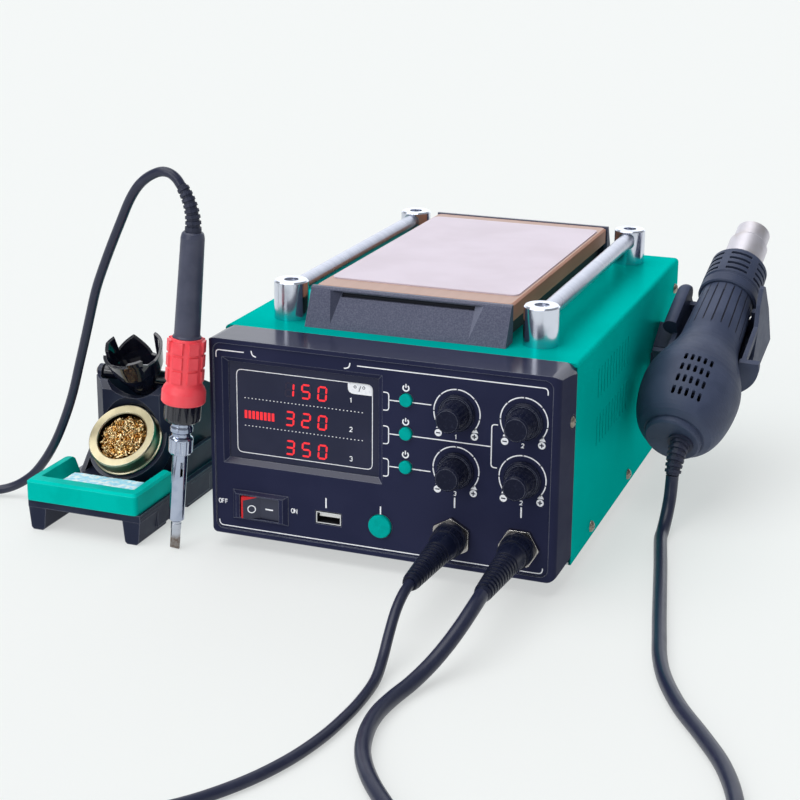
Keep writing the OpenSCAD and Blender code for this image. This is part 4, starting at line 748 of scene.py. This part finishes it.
# From the iron's boot over its arch, down to the table and to the coil
SOLDER_ROUTE_A = [
    (-102.7, -132.8, 189.9), (-105.3, -132.3, 193), (-108.9, -131.9, 195.3),
    (-113.3, -131.5, 195.9), (-117.9, -131, 194.6), (-123.6, -130.2, 191.4),
    (-129, -129.3, 186.6), (-134.6, -128, 179), (-140.4, -126.3, 168.6), (-147.6, -124, 155.4),
    (-154.6, -121.8, 141.8), (-160.8, -119.9, 128.4), (-166.8, -117.6, 111.8),
    (-172.4, -114.8, 97), (-177.6, -112.6, 83), (-183.2, -111, 66.6), (-189.4, -109.8, 51.6),
    (-197, -108.7, 36.4), (-205.8, -108, 23), (-215.8, -107.9, 12.2), (-229, -110, 4.8),
    (-246, -116.2), (-266, -126.4),
]
# From the soldering plug to the table, round the front and to the coil
SOLDER_ROUTE_B = [
    (39.6, -188.4, 24.4), (39.6, -198, 22.8), (39.9, -208, 18.8), (40.9, -219, 12.4),
    (42.6, -231, 6.4), (44.4, -244, 3.2), (45, -260), (44.4, -277), (41.8, -298), (36, -320),
    (26, -342), (11, -363), (-9, -380), (-34, -391), (-61, -394), (-87, -388), (-110, -374),
    (-131, -354), (-150, -331), (-167, -306), (-183, -281), (-199, -256), (-216, -232),
    (-236, -209, 2.6), (-255, -195, 4.8),
]
# From the gun's boot to the table and to the coil
AIR_ROUTE_A = [
    (125.5, -16.5, 28.9), (125.5, -17.4, 24.8), (125.5, -19.8, 17.6), (125.4, -24, 11.6),
    (125.5, -29.8, 7.2), (125.8, -36.6, 4.4), (126.4, -44), (129.8, -60), (134, -79),
    (138.2, -99), (142.4, -119), (146.6, -139), (151, -159), (155.6, -179), (162.4, -199),
    (173.4, -221), (186.8, -241.4), (199.4, -262.6), (208.6, -287), (213, -313), (213.5, -342),
]
# From the hot-air plug to the table and to the coil
AIR_ROUTE_B = [
    (74.3, -188.4, 24.4), (74, -199, 22.8), (72.2, -210, 18.6), (69.2, -221, 13.4),
    (65.2, -232, 8.2), (61, -244, 4.6), (57.6, -257), (56.2, -272), (57.8, -288), (63, -305),
    (73, -322), (88, -340), (107, -360, 3.8), (127.4, -379.6, 6.4),
]


def coil_points(centre, start, turn, diameter):
    """Turns that lie on each other: one on the table, the rest climbing on top of it."""
    radius = COIL_ACROSS * diameter / 2
    steps = COIL_STEPS * abs(turn) // 360
    points = []
    for i in range(steps + 1):
        swept = abs(turn) * i / steps
        angle = math.radians(start + math.copysign(swept, turn))
        climb = min(1, max(0, (swept - 360 + CLIMB) / CLIMB))
        height = diameter * (0.5 + climb * climb * (3 - 2 * climb))
        points.append(centre + Vector((radius * math.cos(angle), radius * math.sin(angle), height)))
    return points


def smooth_line(points):
    """A Catmull-Rom curve through the points."""
    ends = [2 * points[0] - points[1], *points, 2 * points[-1] - points[-2]]
    line = []
    for a, b, c, d in zip(ends, ends[1:], ends[2:], ends[3:]):
        for i in range(CURVE_STEPS):
            t = i / CURVE_STEPS
            line.append(
                0.5 * (2 * b + (c - a) * t + (2 * a - 5 * b + 4 * c - d) * t * t
                       + (3 * b - a - 3 * c + d) * t * t * t)
            )
    return [*line, points[-1]]


def free_cord(name, points, diameter, material, nodes):
    """One cord along the points, in place of its solids."""
    line = smooth_line(points)
    data = bpy.data.curves.new(name, "CURVE")
    data.dimensions = "3D"
    data.bevel_depth = diameter / 2
    data.bevel_resolution = 5
    data.use_fill_caps = True
    spline = data.splines.new("POLY")
    spline.points.add(len(line) - 1)
    for point, place in zip(spline.points, line):
        point.co = (*place, 1)
    spline.use_smooth = True
    cord = bpy.data.objects.new(name, data)
    data.materials.append(material)
    bpy.context.scene.collection.objects.link(cord)
    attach(cord, "station")
    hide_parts(*nodes)
    length = sum((b - a).length for a, b in zip(line, line[1:]))


def laid(route, diameter):
    """A route's points in metres."""
    return [Vector((*point, diameter / 2 / MM)[:3]) * MM for point in route]


CORDS = (
    ("soldering_cord", "solder_plug", SOLDER_CORD, SOLDER_COIL, SOLDER_ROUTE_A, SOLDER_ROUTE_B,
     ("solder_cord_iron", "solder_coil", "solder_cord_plug")),
    ("hot_air_cord", "air_plug", AIR_CORD, AIR_COIL, AIR_ROUTE_A, AIR_ROUTE_B,
     ("air_cord_gun", "air_coil", "air_cord_plug")),
)


def make_cords():
    sheath = cord_sheath().material
    for name, plug, diameter, coil, from_tool, from_plug, solids in CORDS:
        points = [
            *laid(from_tool, diameter), *coil_points(*coil, diameter),
            *reversed(laid(from_plug, diameter)),
        ]
        free_cord(name, points, diameter, sheath, solids)


# Screws

# The stand's screws lie to the left of this, and the case's to the right
STAND_SIDE_X = -115 * MM


def make_screws():
    """The screws as two pieces, so that the funnel's pivot screws move with the stand."""
    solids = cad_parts["screws"].data
    for name, body, side in (("case_screws", "station", 1), ("pivot_screws", "stand", -1)):
        bm = bmesh.new()
        bm.from_mesh(solids)
        others = [v for v in bm.verts if (v.co.x - STAND_SIDE_X) * side < 0]
        bmesh.ops.delete(bm, geom=others, context="VERTS")
        mesh = bpy.data.meshes.new(name)
        bm.to_mesh(mesh)
        bm.free()
        piece = new_piece(mesh, solids.materials[0], body)
        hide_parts("screws")


make_cords()
dress_cad_nodes()
make_screws()


# Printed marks on the front

FRONT_Y = -130 * MM
FACE_Y = FRONT_Y + 0.8 * MM
INK = 0.06 * MM
LENS_Y = FRONT_Y + 3.4 * MM
KNOB_COLUMNS = (41.1, 74.9)
KNOB_ROWS = (CASE_TOP - 24, CASE_TOP - 53.2)
CHANNEL_X = 14.8
CHANNEL_ROWS = (CASE_TOP - 21.2, CASE_TOP - 38.6, CASE_TOP - 55.6)
LINE = 0.55
SIGN_LINE = 0.62
HEAVY_LINE = 0.75
LETTER_LINE = 0.42
SHARPEST_CORNER = 0.4
CORNER_STEPS = 4
ARC_STEP = 6
DOT_SIDES = 20


def on_circle(centre, radius, angles):
    return [(centre[0] + radius * math.cos(a), centre[1] + radius * math.sin(a)) for a in angles]


class Print:
    """Flat ink marks on a plane that faces the front, drawn in millimetres as x and z."""

    def __init__(self, plane_y, thickness=INK):
        self.plane_y = plane_y
        self.thickness = thickness
        self.points = []
        self.faces = []

    def shape(self, outline):
        """A filled outline, as a thin slab."""
        first = len(self.points)
        count = len(outline)
        for y in (self.plane_y, self.plane_y - self.thickness):
            self.points += [(x * MM, y, z * MM) for x, z in outline]
        self.faces.append([first + count + i for i in range(count)])
        for i in range(count):
            j = (i + 1) % count
            self.faces.append([first + i, first + j, first + count + j, first + count + i])

    def stroke(self, path, width=LINE):
        """A line of one width along a path, with mitred corners."""
        corners = [Vector(p) for p in path]
        ways = [(b - a).normalized() for a, b in zip(corners, corners[1:])]
        sides = []
        for p, before, after in zip(corners, [ways[0], *ways], [*ways, ways[-1]]):
            way = (before + after).normalized()
            normal = Vector((-way.y, way.x))
            reach = width / 2 / max(SHARPEST_CORNER, way.dot(before))
            sides.append((p + normal * reach, p - normal * reach))
        for a, b in zip(sides, sides[1:]):
            self.shape([a[0], b[0], b[1], a[1]])

    def arc(self, centre, radius, start, end, width=LINE):
        steps = max(3, int(abs(end - start) / ARC_STEP))
        angles = [math.radians(start + (end - start) * i / steps) for i in range(steps + 1)]
        self.stroke(on_circle(centre, radius, angles), width)

    def disc(self, centre, radius):
        self.shape(on_circle(centre, radius, [math.tau * i / DOT_SIDES for i in range(DOT_SIDES)]))

    def piece(self, name, look, slot):
        """Makes the marks a piece of the station."""
        new_piece(mesh_of(name, self.points, self.faces), look.material, "station")


def rounded(points, radius):
    """A path whose inner corners are rounded off."""
    path = [Vector(points[0])]
    for a, b, c in zip(points, points[1:], points[2:]):
        a, b, c = Vector(a), Vector(b), Vector(c)
        start = b + (a - b).normalized() * radius
        end = b + (c - b).normalized() * radius
        for i in range(CORNER_STEPS + 1):
            t = i / CORNER_STEPS
            path.append((1 - t) ** 2 * start + 2 * t * (1 - t) * b + t * t * end)
    return [*path, Vector(points[-1])]


DIAL_RADIUS = 11.8
DIAL_LINE = 0.6
DIAL_TICKS = (218, 181, 135, 90, 41, -10, -43)
# Degrees between a tick and the arc on each side of it
DIAL_GAP = 1.5
# Wedges and round signs at the two ends of a dial's scale, from the dial's middle
DIAL_WEDGES = (((-9.8, -7.5), (-10.5, -8.8), (-9.1, -8.8)), ((9.5, -6.4), (7.7, -9), (11, -9)))
DIAL_SIGNS = ((-9.4, -11.3, "-"), (9.1, -11.1, "+"))
SIGN_RADIUS = 1.85
SIGN_REACH = 1.1


def dial_marks(ink, dark, centre):
    """A ring scale broken at its ticks, with a wedge and a round sign at each end."""
    x, z = centre
    for first, second in zip(DIAL_TICKS, DIAL_TICKS[1:]):
        ink.arc(centre, DIAL_RADIUS, first - DIAL_GAP, second + DIAL_GAP, DIAL_LINE)
    for wedge in DIAL_WEDGES:
        ink.shape([(x + across, z + height) for across, height in wedge])
    for across, height, sign in DIAL_SIGNS:
        u, v = x + across, z + height
        ink.disc((u, v), SIGN_RADIUS)
        dark.stroke([(u - SIGN_REACH, v), (u + SIGN_REACH, v)], SIGN_LINE)
        if sign == "+":
            dark.stroke([(u, v - SIGN_REACH), (u, v + SIGN_REACH)], SIGN_LINE)


def power_mark(ink, centre):
    """The sign for on and off: an open ring with a bar."""
    ink.arc(centre, 1.5, 128, 412, 0.72)
    ink.stroke([(centre[0], centre[1] + 0.1), (centre[0], centre[1] + 2.1)], SIGN_LINE)


# Strokes of each letter and figure in a box one high
LETTERS = {
    "O": [[(0, 0.25), (0, 0.75), (0.25, 1), (0.55, 1), (0.8, 0.75), (0.8, 0.25), (0.55, 0),
           (0.25, 0), (0, 0.25)]],
    "N": [[(0, 0), (0, 1), (0.75, 0), (0.75, 1)]],
    "F": [[(0, 0), (0, 1), (0.65, 1)], [(0, 0.52), (0.55, 0.52)]],
    "1": [[(0.1, 0.8), (0.4, 1), (0.4, 0)]],
    "2": [[(0, 0.8), (0.2, 1), (0.55, 1), (0.7, 0.8), (0.7, 0.62), (0, 0), (0.75, 0)]],
    "3": [[(0, 0.85), (0.2, 1), (0.55, 1), (0.7, 0.8), (0.7, 0.65), (0.5, 0.53), (0.7, 0.4),
           (0.7, 0.2), (0.55, 0), (0.2, 0), (0, 0.15)]],
}
LETTER_WIDTH = 0.8
LETTER_PITCH = 0.84


def word(ink, text, left, base, height):
    """Plain capitals and figures drawn as strokes, a little narrower than they are high."""
    x = left
    for letter in text:
        for path in LETTERS[letter]:
            strokes = [(x + u * height * LETTER_WIDTH, base + v * height) for u, v in path]
            ink.stroke(strokes, LETTER_LINE)
        x += height * LETTER_PITCH


# The frame line, open over the display, and two small hooks in its gap: the points of each line,
# how far its corners are rounded, and its width
FRAME_LINES = (
    (((-72, 106.7), (-87.6, 106.7), (-87.6, 102.7)), 2, LINE),
    (((-10.8, 106.7), (86.3, 106.7), (86.3, 103.3)), 2, LINE),
    (((-87.6, 15), (-87.6, 12), (86.3, 12), (86.3, 15)), 2.4, LINE),
    (((-68, 108), (-67.6, 105.4), (-65.4, 105)), 1.8, SIGN_LINE),
    (((-14.6, 107.8), (-14.9, 105.2), (-17.8, 104.7)), 1.8, SIGN_LINE),
)
# Lines keep this far from a button's middle
BUTTON_CLEAR = 3.4
# The middle button's line splits here, to the two dials of the right column
SPLIT_X = 58.9
SPLIT_ENDS = ((62, 85.5), (SPLIT_X, 85.5), (SPLIT_X, 63.6), (62, 63.6))
# Short lines over the small socket, the pump button and the round sockets: x, top and foot
SHORT_LINES = ((-27.7, 35.1, 29.7), (1.8, 34.9, 30.6), (40.7, 45.2, 39.8), (74.7, 45.1, 39.7))
SWITCH_WORDS = (("OFF", -87.7, 24.2), ("ON", -46.9, 24.4))
WORD_HEIGHT = 2.2
DIAL_FIGURE_HEIGHT = 2.0


def make_panel_print():
    """The white print of the front, and the dark signs on its round spots."""
    ink = Print(FACE_Y)
    dark = Print(FACE_Y - INK)
    for points, radius, width in FRAME_LINES:
        ink.stroke(rounded(points, radius), width)
    for x in KNOB_COLUMNS:
        for z in KNOB_ROWS:
            dial_marks(ink, dark, (x, z))
    for z in CHANNEL_ROWS:
        power_mark(ink, (CHANNEL_X, z + 6.6))
    # Brackets between the display and the buttons
    for z in CHANNEL_ROWS:
        ink.stroke(rounded([(3, z + 3.2), (5.9, z + 3.2), (5.9, z - 6), (3, z - 6)], 1.6))
        ink.stroke([(5.9, z - 0.6), (CHANNEL_X - BUTTON_CLEAR, z - 0.6)])
    # From the buttons to their dials
    for row, end, drop in ((0, 28, 0.4), (2, 28, 0.4), (1, SPLIT_X, 0.3)):
        height = CHANNEL_ROWS[row] - drop
        ink.stroke([(CHANNEL_X + BUTTON_CLEAR, height), (end, height)])
    ink.stroke(rounded(SPLIT_ENDS, 1.7))
    for x, high, foot in SHORT_LINES:
        ink.stroke([(x, high), (x, foot)], HEAVY_LINE)
    for text, x, base in SWITCH_WORDS:
        word(ink, text, x, base, WORD_HEIGHT)
    # Channel figures between the signs of each dial
    dials = [(x, z) for z in KNOB_ROWS for x in KNOB_COLUMNS]
    for (x, z), figure in zip(dials, "1232"):
        word(ink, figure, x - 0.9, z - 13.4, DIAL_FIGURE_HEIGHT)
    ink.piece("panel_print", print_white(), "panel_black")
    dark.piece("panel_signs", panel_moulding(), "panel_black")


# Display

SEGMENTS = {"0": "abcdef", "1": "bc", "2": "abged", "3": "abgcd", "5": "afgcd"}
DIGIT_ROWS = (89.1, 73.9, 58.4)
READINGS = ("150", "320", "350")
DIGIT_H = 7
DIGIT_W = 4.2
DIGIT_PITCH = 8.9
DIGITS_FROM = -50.7
DIGIT_SLANT = 0.07
SEGMENT_THICK = 0.95
BAR_COUNT = 8
BAR_PITCH = 2.15
BAR_WIDTH = 1.4
BAR_LOW, BAR_TOP = 71.2, 75.4
BARS_FROM = -73.4
# Rows of short dashes, this far under the first and the second row of digits
DASH_ROWS = (DIGIT_ROWS[0] - 7.1, DIGIT_ROWS[1] - 6.6)
DASH_COUNT = 33
DASH_PITCH = 2
DASH_LENGTH = 0.65
CHANNEL_FIGURE_X = -15.8
CHANNEL_FIGURE_HEIGHT = 2.3
WINDOW_LEFT, WINDOW_RIGHT = -77.6, -3.7
WINDOW_LOW, WINDOW_TOP = 52.6, 96.8
WINDOW_LINE_FROM = -40
TAB_LEFT, TAB_LOW = -16.8, 91.2
DEGREE_RINGS_X = (-12.9, -8.3)
FILM = 0.05 * MM


def digit_segments(x, z, lit):
    """Outlines of the lit and unlit bars of one digit whose lower left corner is x, z."""
    half = DIGIT_H / 2
    bars = {
        "a": (0, DIGIT_H, DIGIT_W, DIGIT_H), "g": (0, half, DIGIT_W, half),
        "d": (0, 0, DIGIT_W, 0), "f": (0, half, 0, DIGIT_H),
        "b": (DIGIT_W, half, DIGIT_W, DIGIT_H), "e": (0, 0, 0, half),
        "c": (DIGIT_W, 0, DIGIT_W, half),
    }
    for name, (x0, z0, x1, z1) in bars.items():
        start, end = Vector((x0, z0)), Vector((x1, z1))
        along = (end - start).normalized() * SEGMENT_THICK * 0.55
        across = Vector((-along.y, along.x)) * 0.9
        tip, shoulder = along * 0.3, along * 1.2
        outline = [
            start + tip, start + shoulder + across, end - shoulder + across,
            end - tip, end - shoulder - across, start + shoulder - across,
        ]
        yield name in lit, [(x + p.x + DIGIT_SLANT * p.y, z + p.y) for p in outline]


def make_display():
    """Digits and bars behind the window, and the line, dashes, figures and tab printed there."""
    glow = Print(LENS_Y, 2 * FILM)
    dull = Print(LENS_Y, FILM)
    for z, reading in zip(DIGIT_ROWS, READINGS):
        for i, figure in enumerate(reading):
            x = DIGITS_FROM + i * DIGIT_PITCH
            for lit, outline in digit_segments(x, z - DIGIT_H / 2, SEGMENTS[figure]):
                (glow if lit else dull).shape(outline)
    for i in range(BAR_COUNT):
        x = BARS_FROM + i * BAR_PITCH
        end = x + BAR_WIDTH
        glow.shape([(x, BAR_LOW), (end, BAR_LOW), (end, BAR_TOP), (x, BAR_TOP)])
    glow.piece("display_lit", lit_red(), "display_window")
    dull.piece("display_unlit", unlit_segment(), "display_window")
    marks = Print(LENS_Y, FILM)
    line = rounded([
        (WINDOW_LINE_FROM, WINDOW_TOP), (WINDOW_RIGHT, WINDOW_TOP), (WINDOW_RIGHT, WINDOW_LOW),
        (WINDOW_LEFT, WINDOW_LOW), (WINDOW_LEFT, WINDOW_TOP), (WINDOW_LINE_FROM, WINDOW_TOP),
    ], 3)
    marks.stroke(line, 0.4)
    for z in DASH_ROWS:
        for i in range(DASH_COUNT):
            x = BARS_FROM + i * DASH_PITCH
            marks.stroke([(x, z), (x + DASH_LENGTH, z)], LETTER_LINE)
    for z, figure in zip(DIGIT_ROWS, "123"):
        word(marks, figure, CHANNEL_FIGURE_X, z - 2.6, CHANNEL_FIGURE_HEIGHT)
    # White tab in the upper right corner, with two degree rings and a slash between them
    left, right = (TAB_LEFT, WINDOW_TOP), (WINDOW_RIGHT, TAB_LOW)
    lower = rounded([left, (TAB_LEFT, TAB_LOW), right], 3.2)
    upper = rounded([right, (WINDOW_RIGHT, WINDOW_TOP), left], 3)
    marks.shape([(p.x, p.y) for p in [*lower, *upper[1:-1]]])
    marks.piece("display_marks", print_white(), "display_window")
    unit = Print(LENS_Y - FILM, FILM)
    for x in DEGREE_RINGS_X:
        unit.arc((x, 94.9), 0.62, 0, 360, 0.32)
    unit.stroke([(-10.9, 92.6), (-9.9, 95.6)], 0.36)
    unit.piece("display_unit", panel_moulding(), "display_window")


ROCKER_PIVOT = Vector((-64, -127.4, 24.7))
ROCKER_TURN = math.radians(8)
# The rocker's faces slope to its middle, which lies this far before the pivot
ROCKER_SLOPE = 0.2
ROCKER_MIDDLE = 2.4


def make_rocker_marks():
    """White signs on the two faces of the rocker, which slope to the middle."""
    turn = Matrix.Rotation(ROCKER_TURN, 3, "Z")
    points = []
    faces = []
    ring = Print(0)
    ring.arc((-4.7, -0.8), 1.9, 0, 360, 0.5)
    dash = Print(0)
    dash.stroke([(2.5, -0.3), (6.8, -0.3)], HEAVY_LINE)
    for ink in (ring, dash):
        first = len(points)
        for x, y, z in ink.points:
            along = x / MM
            depth = -ROCKER_MIDDLE - abs(along) * ROCKER_SLOPE + y / MM
            points.append((ROCKER_PIVOT + turn @ Vector((along, depth, z / MM))) * MM)
        faces.extend([first + i for i in face] for face in ink.faces)
    mesh = mesh_of("rocker_marks", points, faces)
    new_piece(mesh, print_white().material, "rocker")


make_panel_print()
make_display()
make_rocker_marks()


# Sponge

# What the wear takes off the sponge's sizes, and how far it has sunk, in millimetres
SPONGE_WEAR = (1.2, 1.2, 0.6)
SPONGE_SUNK = 0.1
SPONGE_EDGE = 1.3
SPONGE_VOXEL = 0.5
# Sizes of its pores, lumps and fine pits, and how deep each goes
PORE, LUMP, PIT = 1.9, 6.0, 0.8
PORE_REACH = 0.62
LUMP_HEIGHT = 0.15
PIT_DEPTH = 0.25
DENT_DEPTH = 0.55


def make_sponge():
    """A cut cellulose pad with torn pores and worn edges."""
    low, high = (Vector(v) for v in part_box("sponge"))
    size = high - low
    bm = bmesh.new()
    bmesh.ops.create_cube(bm, size=1.0)
    bmesh.ops.scale(bm, vec=size - Vector(SPONGE_WEAR) * MM, verts=bm.verts)
    middle = (low + high) / 2 - Vector((0, 0, SPONGE_SUNK * MM))
    bmesh.ops.translate(bm, vec=middle, verts=bm.verts)
    bmesh.ops.bevel(bm, geom=bm.edges, offset=SPONGE_EDGE * MM, segments=3, affect="EDGES")
    mesh = bpy.data.meshes.new("sponge_pad")
    bm.to_mesh(mesh)
    bm.free()
    piece = new_piece(mesh, sponge_cells().material, "tray")
    remesh = piece.modifiers.new("even_faces", "REMESH")
    remesh.mode = "VOXEL"
    remesh.voxel_size = SPONGE_VOXEL * MM
    bpy.context.view_layer.update()
    evaluated = piece.evaluated_get(bpy.context.evaluated_depsgraph_get())
    even = bpy.data.meshes.new_from_object(evaluated)
    piece.modifiers.clear()
    piece.data = even
    even.shade_smooth()
    for vertex in even.vertices:
        place = vertex.co / MM
        pore = max(0.0, PORE_REACH - noise.voronoi(place / PORE)[0][0])
        lump = noise.noise(place / LUMP)
        dent = 0.9 * pore + PIT_DEPTH * max(0.0, noise.noise(place / PIT))
        vertex.co += vertex.normal * (LUMP_HEIGHT * lump - dent * DENT_DEPTH) * MM
    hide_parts("sponge")


# Brass wool, in millimetres on the tin's own axis

TIN_MID = Vector((-159, -103.2, 43))
TIN_LEAN = 47
WOOL_R = 13.2
CURLS = 460
CURL_RADIUS = (1.0, 2.4)
CURL_SWEEP = (3.6, 8.5)
CURL_PITCH = (0.15, 0.5)
CURL_WIDTH = (0.4, 0.95)
CURL_THICK = 0.07
CURL_SHRINK = 0.25
CURL_STEPS = 3.2
# Curls start here, and rise by the first figure at the rim and by both in the middle
HEAP_FOOT = -4.6
HEAP_RISE = (2.2, 2.4)
# Nothing passes below the floor, above the top, or over a roof that falls to the rim
WOOL_FLOOR, WOOL_TOP = -6.5, 0.7
ROOF, ROOF_FALL = 0.5, 2.2
BED_RINGS, BED_SIDES = 14, 48
BED_R = WOOL_R + 1.8


def wool_curls(turn):
    """Curled shavings heaped in the tin, as points and faces."""
    rng = random.Random(7)
    points = []
    faces = []
    for _ in range(CURLS):
        reach = WOOL_R * math.sqrt(rng.random()) * 0.9
        around = rng.random() * math.tau
        heap = 1 - (reach / WOOL_R) ** 2
        height = HEAP_FOOT + (HEAP_RISE[0] + HEAP_RISE[1] * heap) * rng.random()
        centre = Vector((reach * math.cos(around), reach * math.sin(around), height))
        axis = Vector((rng.gauss(0, 1), rng.gauss(0, 1), rng.gauss(0, 0.7))).normalized()
        side = axis.orthogonal().normalized()
        other = axis.cross(side)
        radius = rng.uniform(*CURL_RADIUS)
        sweep = rng.uniform(*CURL_SWEEP)
        pitch = rng.uniform(*CURL_PITCH)
        width = rng.uniform(*CURL_WIDTH)
        steps = int(sweep * CURL_STEPS)
        begin = rng.random() * math.tau
        for i in range(steps + 1):
            angle = begin + sweep * i / steps
            shrink = 1 - CURL_SHRINK * i / steps
            out = side * math.cos(angle) + other * math.sin(angle)
            rise = axis * (pitch * (angle - begin) - pitch * sweep / 2)
            spot = centre + out * radius * shrink + rise
            flat = Vector((spot.x, spot.y))
            if flat.length > WOOL_R:
                flat *= WOOL_R / flat.length
            roof = ROOF - ROOF_FALL * min(1, flat.length / WOOL_R) ** 2
            spot = Vector((flat.x, flat.y, min(roof, max(WOOL_FLOOR, spot.z))))
            twist = axis * width / 2
            row = len(points)
            for edge in (spot - twist, spot + twist):
                edge.z = min(WOOL_TOP, edge.z)
                points.append((TIN_MID + turn @ edge) * MM)
            if i:
                faces.append([row - 2, row - 1, row + 1, row])
    return points, faces


def wool_shade_bed(turn):
    """The crumpled bed under the curls, a sheet that stands for the shade between them, as points
    and faces.
    """
    points = []
    faces = []
    for r in range(BED_RINGS + 1):
        for k in range(BED_SIDES):
            reach = BED_R * r / BED_RINGS
            a = math.tau * k / BED_SIDES
            spot = Vector((reach * math.cos(a), reach * math.sin(a), 0))
            spot.z = -3 + 1.3 * noise.noise(spot / 2.2) - 1.6 * (r / BED_RINGS) ** 2
            points.append((TIN_MID + turn @ spot) * MM)
    for row in range(0, BED_RINGS * BED_SIDES, BED_SIDES):
        for k in range(BED_SIDES):
            j = (k + 1) % BED_SIDES
            faces.append([row + k, row + j, row + BED_SIDES + j, row + BED_SIDES + k])
    return points, faces


def make_wool():
    """The brass wool as two pieces: its curls, and a dark bed between them that stands for the
    shade there.
    """
    turn = Matrix.Rotation(math.radians(90 - TIN_LEAN), 3, "X")
    mesh = mesh_of("wool_curls", *wool_curls(turn), smooth=True)
    curls = new_piece(mesh, brass_shavings().material, "tin")
    thick = curls.modifiers.new("thickness", "SOLIDIFY")
    thick.thickness = CURL_THICK * MM
    # A dark sheet under the curls: painted shade between them.
    mesh = mesh_of("wool_shade_bed", *wool_shade_bed(turn), smooth=True)
    bed = new_piece(mesh, shavings_shade().material, "tin")
    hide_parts("brass_wool")
    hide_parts("brass_wool")


make_sponge()
make_wool()


# Floor and lights

# How far the floor reaches each way and how far it lies under the feet, in metres
FAR = 40
FLOOR_DROP = 0.0002


def make_stage():
    """A floor that reaches to the horizon."""
    corners = [(-FAR, -FAR, 0), (FAR, -FAR, 0), (FAR, FAR, 0), (-FAR, FAR, 0)]
    mesh = mesh_of("floor", corners, [range(4)])
    floor = bpy.data.objects.new("floor", mesh)
    floor.location.z = -FLOOR_DROP
    mesh.materials.append(floor_paper().material)
    bpy.context.scene.collection.objects.link(floor)


def soft_sun(name, place, strength, spread):
    """Even light from one direction, so the floor is lit alike near and far."""
    data = bpy.data.lights.new(name, "SUN")
    data.energy = strength
    data.angle = math.radians(spread)
    light = bpy.data.objects.new(name, data)
    light.rotation_euler = (-Vector(place)).to_track_quat("-Z", "Y").to_euler()
    bpy.context.scene.collection.objects.link(light)


SKY_COLOR = (0.93, 0.96, 1.0, 1)
SKY_LEVEL = 0.34
BRIGHT_WAY = (-0.33, 0.92, 0.21)
BRIGHT_LEVEL = 1.2
HORIZON_LEVEL = 0.93


def make_lights():
    """An even sky, brighter behind the object and at the horizon, a key and a weak fill."""
    world = bpy.data.worlds.new("studio")
    world.use_nodes = True
    sky = Nodes(world.node_tree)
    way = sky.node("ShaderNodeTexCoord", out="Generated")
    settings = {"operation": "DOT_PRODUCT"}
    facing = sky.node("ShaderNodeVectorMath", settings, way, BRIGHT_WAY, out="Value")
    height = sky.node("ShaderNodeSeparateXYZ", None, way, out="Z")
    open_sky = SKY_LEVEL + BRIGHT_LEVEL * facing.between(0.6, 0.95)
    horizon = HORIZON_LEVEL - HORIZON_LEVEL * height.between(0.02, 0.14)
    background = sky.nodes["Background"]
    sky.put(background.inputs["Color"], SKY_COLOR)
    sky.put(background.inputs["Strength"], sky.maths("MAXIMUM", open_sky, horizon))
    bpy.context.scene.world = world
    soft_sun("key", (-0.45, -0.3, 1.5), 1.85, 60)
    soft_sun("fill", (-0.8, -2.0, 0.95), 0.7, 30)


make_stage()
make_lights()
bpy.context.scene.view_settings.view_transform = "Standard"
